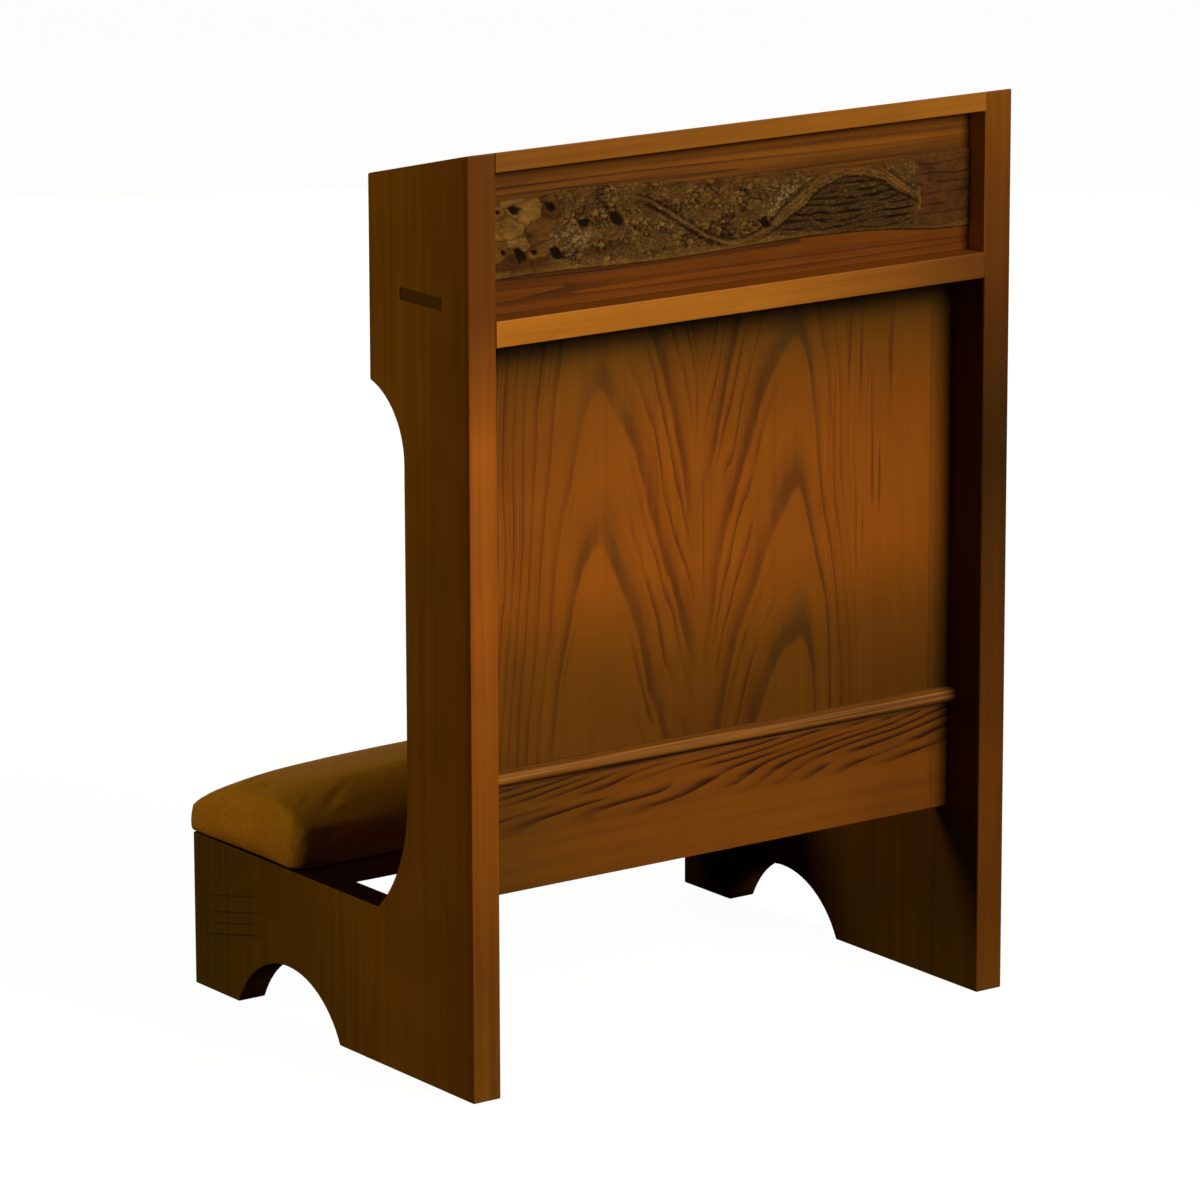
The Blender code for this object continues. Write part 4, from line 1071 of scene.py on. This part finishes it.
# %% Weathered wood
# Dull, dry and rough to the touch, with no varnish in its hollows
FIBRE_MM = (1.4, 6.0)
FIBRE_TONES = (0.75, 1.25)
FIBRE_DEPTH_MM = 0.5
weathered, bark = new_material("weathered wood")
pigment = add(bark, "ShaderNodeAttribute", attribute_name="pigment").outputs["Color"]
bark_place = add(bark, "ShaderNodeTexCoord").outputs["Object"]
fibres = stretched(bark, bark_place, "X", FIBRE_MM, 3.0, 61.0)
fibre_tone = add(bark, "ShaderNodeMapRange", fibres, *NOISE_RANGE, *FIBRE_TONES)
bark_colour = add(bark, "ShaderNodeVectorMath", pigment, sockets={"Scale": fibre_tone}, operation="SCALE")
raised = {"Strength": 0.6, "Distance": FIBRE_DEPTH_MM * MM, "Height": fibres}
bark_relief = add(bark, "ShaderNodeBump", sockets=raised)
dry = {"Roughness": 0.8, "Specular IOR Level": 0.05}
coat(bark, {"Base Color": bark_colour, "Normal": bark_relief, **dry})
band_mesh.materials.append(weathered)
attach(band, "root")
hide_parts("frieze_carving")
print(weathered.name, "on", band.name)

# %% [markdown]
# The pad is foam on a board, wrapped in leatherette and pulled down round the edge, so it is crowned and its
# sides draw in between the corners. It starts as the crowned form of the CAD model, a little slack. Cloth
# with pressure inside then fills it, as the foam does, and each point may move only a few millimetres.

# %% Rule of the crowned form
# Pairs are for the front and the rear, or for the ends and the middle of the peak
PAD_EDGE_MM = (38.0, 28.0)
PAD_PEAK_MM = (55.0, 67.0)
PAD_TUCK_MM = (3.5, 1.0)
PAD_SHOULDER_MM = (8.0, 3.0)
PAD_CORNER_MM = (20.0, 4.0)
PAD_END_SHOULDER_MM = 10.0
PAD_DRAW_IN_MM = 2.5
PAD_WAIST = 0.28
PAD_CORNER_POWER = 6
PAD_SHOULDER_POWER = 4
PAD_DOME_POWER = 3.2
PAD_LENGTH_POWER = 2.8
pad_low, pad_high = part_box("pad_cover")
pad_middle = (pad_low + pad_high) / 2
pad_half = (pad_high - pad_low) / 2


def mixed_mm(pair, share):
    """The value between two, in metres."""
    return (pair[0] + (pair[1] - pair[0]) * share) * MM


def pad_point(along, across, up):
    """A point of the pad from its shares: of the half length, of the half depth, and of the height."""
    rear = (1 + across) / 2
    low_part = max(0.0, 1 - up / PAD_WAIST) ** 2
    high_part = max(0.0, (up - PAD_WAIST) / (1 - PAD_WAIST)) ** 2
    tuck = mixed_mm(PAD_TUCK_MM, rear) * low_part
    end_round = PAD_END_SHOULDER_MM * MM * (1 - max(0.0, across) ** PAD_CORNER_POWER)
    end_shoulder = PAD_SHOULDER_MM[1] * MM + end_round
    draw = PAD_DRAW_IN_MM * MM
    inset_x = tuck + end_shoulder * high_part * along**PAD_SHOULDER_POWER + draw * (1 - across**2)
    inset_y = tuck + mixed_mm(PAD_SHOULDER_MM, rear) * high_part + draw * (1 - along**2)
    x = abs(along) * (pad_half.x - inset_x)
    y = abs(across) * (pad_half.y - inset_y)
    radius = PAD_CORNER_MM[int(across > 0)] * MM
    past_x = x - (pad_half.x - radius)
    past_y = y - (pad_half.y - radius)
    if past_x > 0 and past_y > 0:
        pull = max(past_x, past_y) / math.hypot(past_x, past_y)
        x += past_x * (pull - 1)
        y += past_y * (pull - 1)
    edge = mixed_mm(PAD_EDGE_MM, rear)
    peak = mixed_mm(PAD_PEAK_MM, 1 - abs(along) ** PAD_LENGTH_POWER)
    rise = (peak - mixed_mm(PAD_EDGE_MM, 0.5)) * (1 - abs(across) ** PAD_DOME_POWER)
    offset = Vector((math.copysign(x, along), math.copysign(y, across), up * (edge + rise)))
    return Vector((pad_middle.x, pad_middle.y, pad_low.z)) + offset


print("pad box in mm:", [round(2 * half / MM, 1) for half in pad_half])

# %% Crowned form of the pad
PAD_CELLS = (90, 30, 8)
VOXEL_MM = 4.0
form = bmesh.new()
form_corners = {}


def form_corner(key):
    """The point of the form at a corner of its cells, made when it is first asked for."""
    if key not in form_corners:
        parts = [place / count for place, count in zip(key, PAD_CELLS)]
        form_corners[key] = form.verts.new(pad_point(2 * parts[0] - 1, 2 * parts[1] - 1, parts[2]))
    return form_corners[key]


def applied(piece):
    """Turns a piece's modifiers into its mesh."""
    bpy.context.view_layer.update()
    made = bpy.data.meshes.new_from_object(piece.evaluated_get(bpy.context.evaluated_depsgraph_get()))
    piece.modifiers.clear()
    piece.data = made
    return made


for side in range(3):
    first, second = [axis for axis in range(3) if axis != side]
    for end in (0, PAD_CELLS[side]):
        for i, j in np.ndindex(PAD_CELLS[first], PAD_CELLS[second]):
            cell = []
            for di, dj in ((0, 0), (1, 0), (1, 1), (0, 1)):
                key = [end, end, end]
                key[first], key[second] = i + di, j + dj
                cell.append(form_corner(tuple(key)))
            form.faces.new(cell)
bmesh.ops.recalc_face_normals(form, faces=form.faces)
pad_mesh = bpy.data.meshes.new("pad_cushion")
form.to_mesh(pad_mesh)
form.free()
cushion = placed("pad_cushion", pad_mesh)
voxels = cushion.modifiers.new("voxels", "REMESH")
voxels.mode = "VOXEL"
voxels.voxel_size = VOXEL_MM * MM
applied(cushion)
print("pad points before the cloth:", len(cushion.data.vertices))

# %% Fill the pad
PAD_PRESSURE = 4.0
PAD_CAP_MM = 4.0
PAD_HELD_MM = 2.5
FOAM_GIVE = 0.05
CLOTH_FRAMES = 20


def positions(mesh):
    """The points of a mesh as rows of x, y and z."""
    found = np.empty(len(mesh.vertices) * 3)
    mesh.vertices.foreach_get("co", found)
    return found.reshape(-1, 3)


slack = positions(cushion.data)
held = cushion.vertex_groups.new(name="held")
base = np.flatnonzero(slack[:, 2] < pad_low.z + PAD_HELD_MM * MM)
held.add(base.tolist(), 1.0, "REPLACE")
cloth = cushion.modifiers.new("cloth", "CLOTH")
cloth.settings.use_pressure = True
cloth.settings.uniform_pressure_force = PAD_PRESSURE
cloth.settings.vertex_group_mass = "held"
cloth.settings.effector_weights.gravity = 0.0
cloth.point_cache.frame_end = CLOTH_FRAMES
for number in range(1, CLOTH_FRAMES + 1):
    bpy.context.scene.frame_set(number)
filled = positions(applied(cushion))
moves = filled - slack
lengths = np.linalg.norm(moves, axis=1)
moves *= np.minimum(1.0, PAD_CAP_MM * MM / np.maximum(lengths, 1e-9))[:, None]
inward = moves * (slack - np.array(pad_middle)) < 0
moves[inward] *= FOAM_GIVE
filled = slack + moves
filled[:, 2] = np.maximum(filled[:, 2], pad_low.z)
cushion.data.vertices.foreach_set("co", filled.ravel())
bpy.context.scene.frame_set(1)
print("cloth moved points by up to", round(float(lengths.max()) / MM, 1), "mm")

# %% Fit the pad to its box
finer = cushion.modifiers.new("finer", "SUBSURF")
finer.levels = finer.render_levels = 1
applied(cushion).shade_smooth()
fitted = positions(cushion.data)
for axis in (0, 1):
    reach = max(fitted[:, axis].max() - pad_middle[axis], pad_middle[axis] - fitted[:, axis].min())
    fitted[:, axis] = pad_middle[axis] + (fitted[:, axis] - pad_middle[axis]) * pad_half[axis] / reach
cushion.data.vertices.foreach_set("co", fitted.ravel())
print("pad faces:", len(cushion.data.polygons))

# %% [markdown]
# The cover is leatherette, a cloth coated with vinyl that a hot roller has pressed with a leather grain. A
# pattern could be laid on by a UV map, but the filled form has none. Voronoi cells are measured in space, so
# their pebbles keep one size all over the pad.

# %% Leatherette
# Vinyl pressed with a fine leather grain, drawn coarser here than its real half millimetre so that it shows,
# with a soft sheen, a crown tinted greener and less blue, and painted shade on the side towards the panel
GRAIN_MM = 2.2
GRAIN_DEPTH_MM = 0.25
GRAIN_STOPS = ((0.0, linear("8E5012")), (0.12, linear("B06A1B")))
WORN_MM = (60.0, 120.0)
WORN_TONES = (0.85, 1.1)
PAD_TINT_AND_SHADE = (("+Z", (0.92, 1.10, 0.7)), ("-Y", (0.52, 0.60, 0.5)))
PAD_TINT_TURN = (0.2, 0.95)
SHEEN = {"Roughness": 0.5, "Specular IOR Level": 0.10}
vinyl, skin = new_material("tan leatherette")
skin_place = add(skin, "ShaderNodeTexCoord").outputs["Object"]
grain_size = {"Vector": skin_place, "Scale": 1 / (GRAIN_MM * MM)}
pebbles = add(skin, "ShaderNodeTexVoronoi", sockets=grain_size, feature="DISTANCE_TO_EDGE")
creased = add(skin, "ShaderNodeValToRGB", pebbles, stops=GRAIN_STOPS)
worn = stretched(skin, skin_place, "X", WORN_MM, 2.0, 71.0, WORN_TONES)
skin_colour = add(skin, "ShaderNodeVectorMath", creased, sockets={"Scale": worn}, operation="SCALE")
for direction, tint in PAD_TINT_AND_SHADE:
    skin_colour = tinted(skin, skin_colour, looking(skin, direction, PAD_TINT_TURN), (*tint, 1.0))
grained = {"Strength": 0.25, "Distance": GRAIN_DEPTH_MM * MM, "Height": pebbles}
coat(skin, {"Base Color": skin_colour, "Normal": add(skin, "ShaderNodeBump", sockets=grained), **SHEEN})
cushion.data.materials.clear()
cushion.data.materials.append(vinyl)
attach(cushion, "root")
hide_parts("pad_cover", "pad_foam")
print(vinyl.name, "on", cushion.name)

# %% [markdown]
# Ten countersunk steel screws hold the cleats and the pad. They differ only in place and direction, so
# Geometry Nodes set them: one point for each screw, one screw made of a cone, a shank and a crossed recess,
# and an instance of it at every point, turned the way that the screw goes in.

# %% Places of the screws
screw_names = sorted(name for name in nodes if "_screw_" in name)
screw_points = bpy.data.meshes.new("screws")
heads = []
ways = []
lengths_m = []
for name in screw_names:
    low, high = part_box(name)
    sides = high - low
    axis = max(range(3), key=lambda number: sides[number])
    middle = (low + high) / 2
    way = Vector((0.0, 0.0, 0.0))
    way[axis] = math.copysign(1.0, middle.x) if axis == 0 else 1.0
    heads.append(middle - way * sides[axis] / 2)
    ways.append(way)
    lengths_m.append(sides[axis])
screw_points.from_pydata(heads, [], [])
way_data = screw_points.attributes.new("way", "FLOAT_VECTOR", "POINT")
way_data.data.foreach_set("vector", [part for way in ways for part in way])
long_data = screw_points.attributes.new("long", "FLOAT", "POINT")
long_data.data.foreach_set("value", lengths_m)
screws = placed("screws", screw_points)
print("screw lengths in mm:", sorted({round(length / MM, 1) for length in lengths_m}))

# %% [markdown]
# The screws are steel with a thin coat of zinc. A plain grey would look like plastic, so the finish is a
# metal whose tone and roughness drift a little from place to place.

# %% Zinc-plated steel
# Turned and tumbled, so it is bright grey with a faint warm and cool bloom
BLOOM_MM = 4.0
BLOOM_STOPS = ((0.35, linear("B4B6B4")), (0.65, linear("C9C4B2")))
ZINC_ROUGHNESS = (0.28, 0.42)
zinc, plating = new_material("zinc-plated steel")
zinc_place = add(plating, "ShaderNodeTexCoord").outputs["Object"]
bloom_size = {"Vector": zinc_place, "Scale": 1 / (BLOOM_MM * MM), "Detail": 2.0}
bloom = add(plating, "ShaderNodeTexNoise", sockets=bloom_size)
zinc_colour = add(plating, "ShaderNodeValToRGB", bloom, stops=BLOOM_STOPS)
zinc_rough = add(plating, "ShaderNodeMapRange", bloom, *NOISE_RANGE, *ZINC_ROUGHNESS)
coat(plating, {"Base Color": zinc_colour, "Roughness": zinc_rough, "Metallic": 1.0})
print(zinc.name, "for", len(screw_names), "screws")

# %% One screw
SCREW_MM = {
    "Head radius": 4.0,
    "Head depth": 2.6,
    "Shank radius": 2.0,
    "Recess length": 4.6,
    "Recess width": 1.0,
    "Recess depth": 1.6,
}
HEAD_SIDES = 32
SHANK_SIDES = 16
tree = bpy.data.node_groups.new("countersunk screws", "GeometryNodeTree")
tree.interface.new_socket("Geometry", in_out="INPUT", socket_type="NodeSocketGeometry")
for label in SCREW_MM:
    tree.interface.new_socket(label, in_out="INPUT", socket_type="NodeSocketFloat")
tree.interface.new_socket("Geometry", in_out="OUTPUT", socket_type="NodeSocketGeometry")
size = add(tree, "NodeGroupInput").outputs
head_sizes = {"Vertices": HEAD_SIDES, "Depth": size["Head depth"]}
head_sizes |= {"Radius Top": size["Shank radius"], "Radius Bottom": size["Head radius"]}
head = add(tree, "GeometryNodeMeshCone", sockets=head_sizes)
bored = add(tree, "GeometryNodeMeshBoolean", operation="DIFFERENCE", solver="EXACT")
tree.links.new(head.outputs["Mesh"], bored.inputs["Mesh 1"])
twice = add(tree, "ShaderNodeMath", size["Recess depth"], 2.0, operation="MULTIPLY")
for across, upright in (("Recess length", "Recess width"), ("Recess width", "Recess length")):
    recess_size = add(tree, "ShaderNodeCombineXYZ", size[across], size[upright], twice)
    recess = add(tree, "GeometryNodeMeshCube", recess_size)
    tree.links.new(recess.outputs["Mesh"], bored.inputs["Mesh 2"])
shank_sizes = {"Vertices": SHANK_SIDES, "Radius": size["Shank radius"], "Depth": 1.0}
shank = add(tree, "GeometryNodeMeshCylinder", sockets=shank_sizes)
half_up = {"Translation": (0.0, 0.0, 0.5)}
raised_shank = add(tree, "GeometryNodeTransform", shank.outputs["Mesh"], sockets=half_up)
print("sizes of a screw in mm:", SCREW_MM)

# %% Set the screws
way_field = add(tree, "GeometryNodeInputNamedAttribute", "way", data_type="FLOAT_VECTOR")
turn_to = add(tree, "FunctionNodeAlignRotationToVector", sockets={"Vector": way_field}, axis="Z")
long_field = add(tree, "GeometryNodeInputNamedAttribute", "long", data_type="FLOAT")
long_scale = add(tree, "ShaderNodeCombineXYZ", 1.0, 1.0, long_field)
at_head = {"Instance": bored.outputs["Mesh"], "Rotation": turn_to.outputs["Rotation"]}
at_shank = {"Instance": raised_shank, "Rotation": turn_to.outputs["Rotation"], "Scale": long_scale}
joined = add(tree, "GeometryNodeJoinGeometry")
for sockets in (at_head, at_shank):
    set_parts = add(tree, "GeometryNodeInstanceOnPoints", size["Geometry"], sockets=sockets)
    tree.links.new(set_parts.outputs[0], joined.inputs[0])
real = add(tree, "GeometryNodeRealizeInstances", joined)
plated = add(tree, "GeometryNodeSetMaterial", real, sockets={"Material": zinc})
add(tree, "NodeGroupOutput", plated)
setting = screws.modifiers.new("setting", "NODES")
setting.node_group = tree
for item in tree.interface.items_tree:
    if item.in_out == "INPUT" and item.name in SCREW_MM:
        setting[item.identifier] = SCREW_MM[item.name] * MM
applied(screws)
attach(screws, "root")
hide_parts(*screw_names)
print("screws:", len(screw_names), "faces:", len(screws.data.polygons))
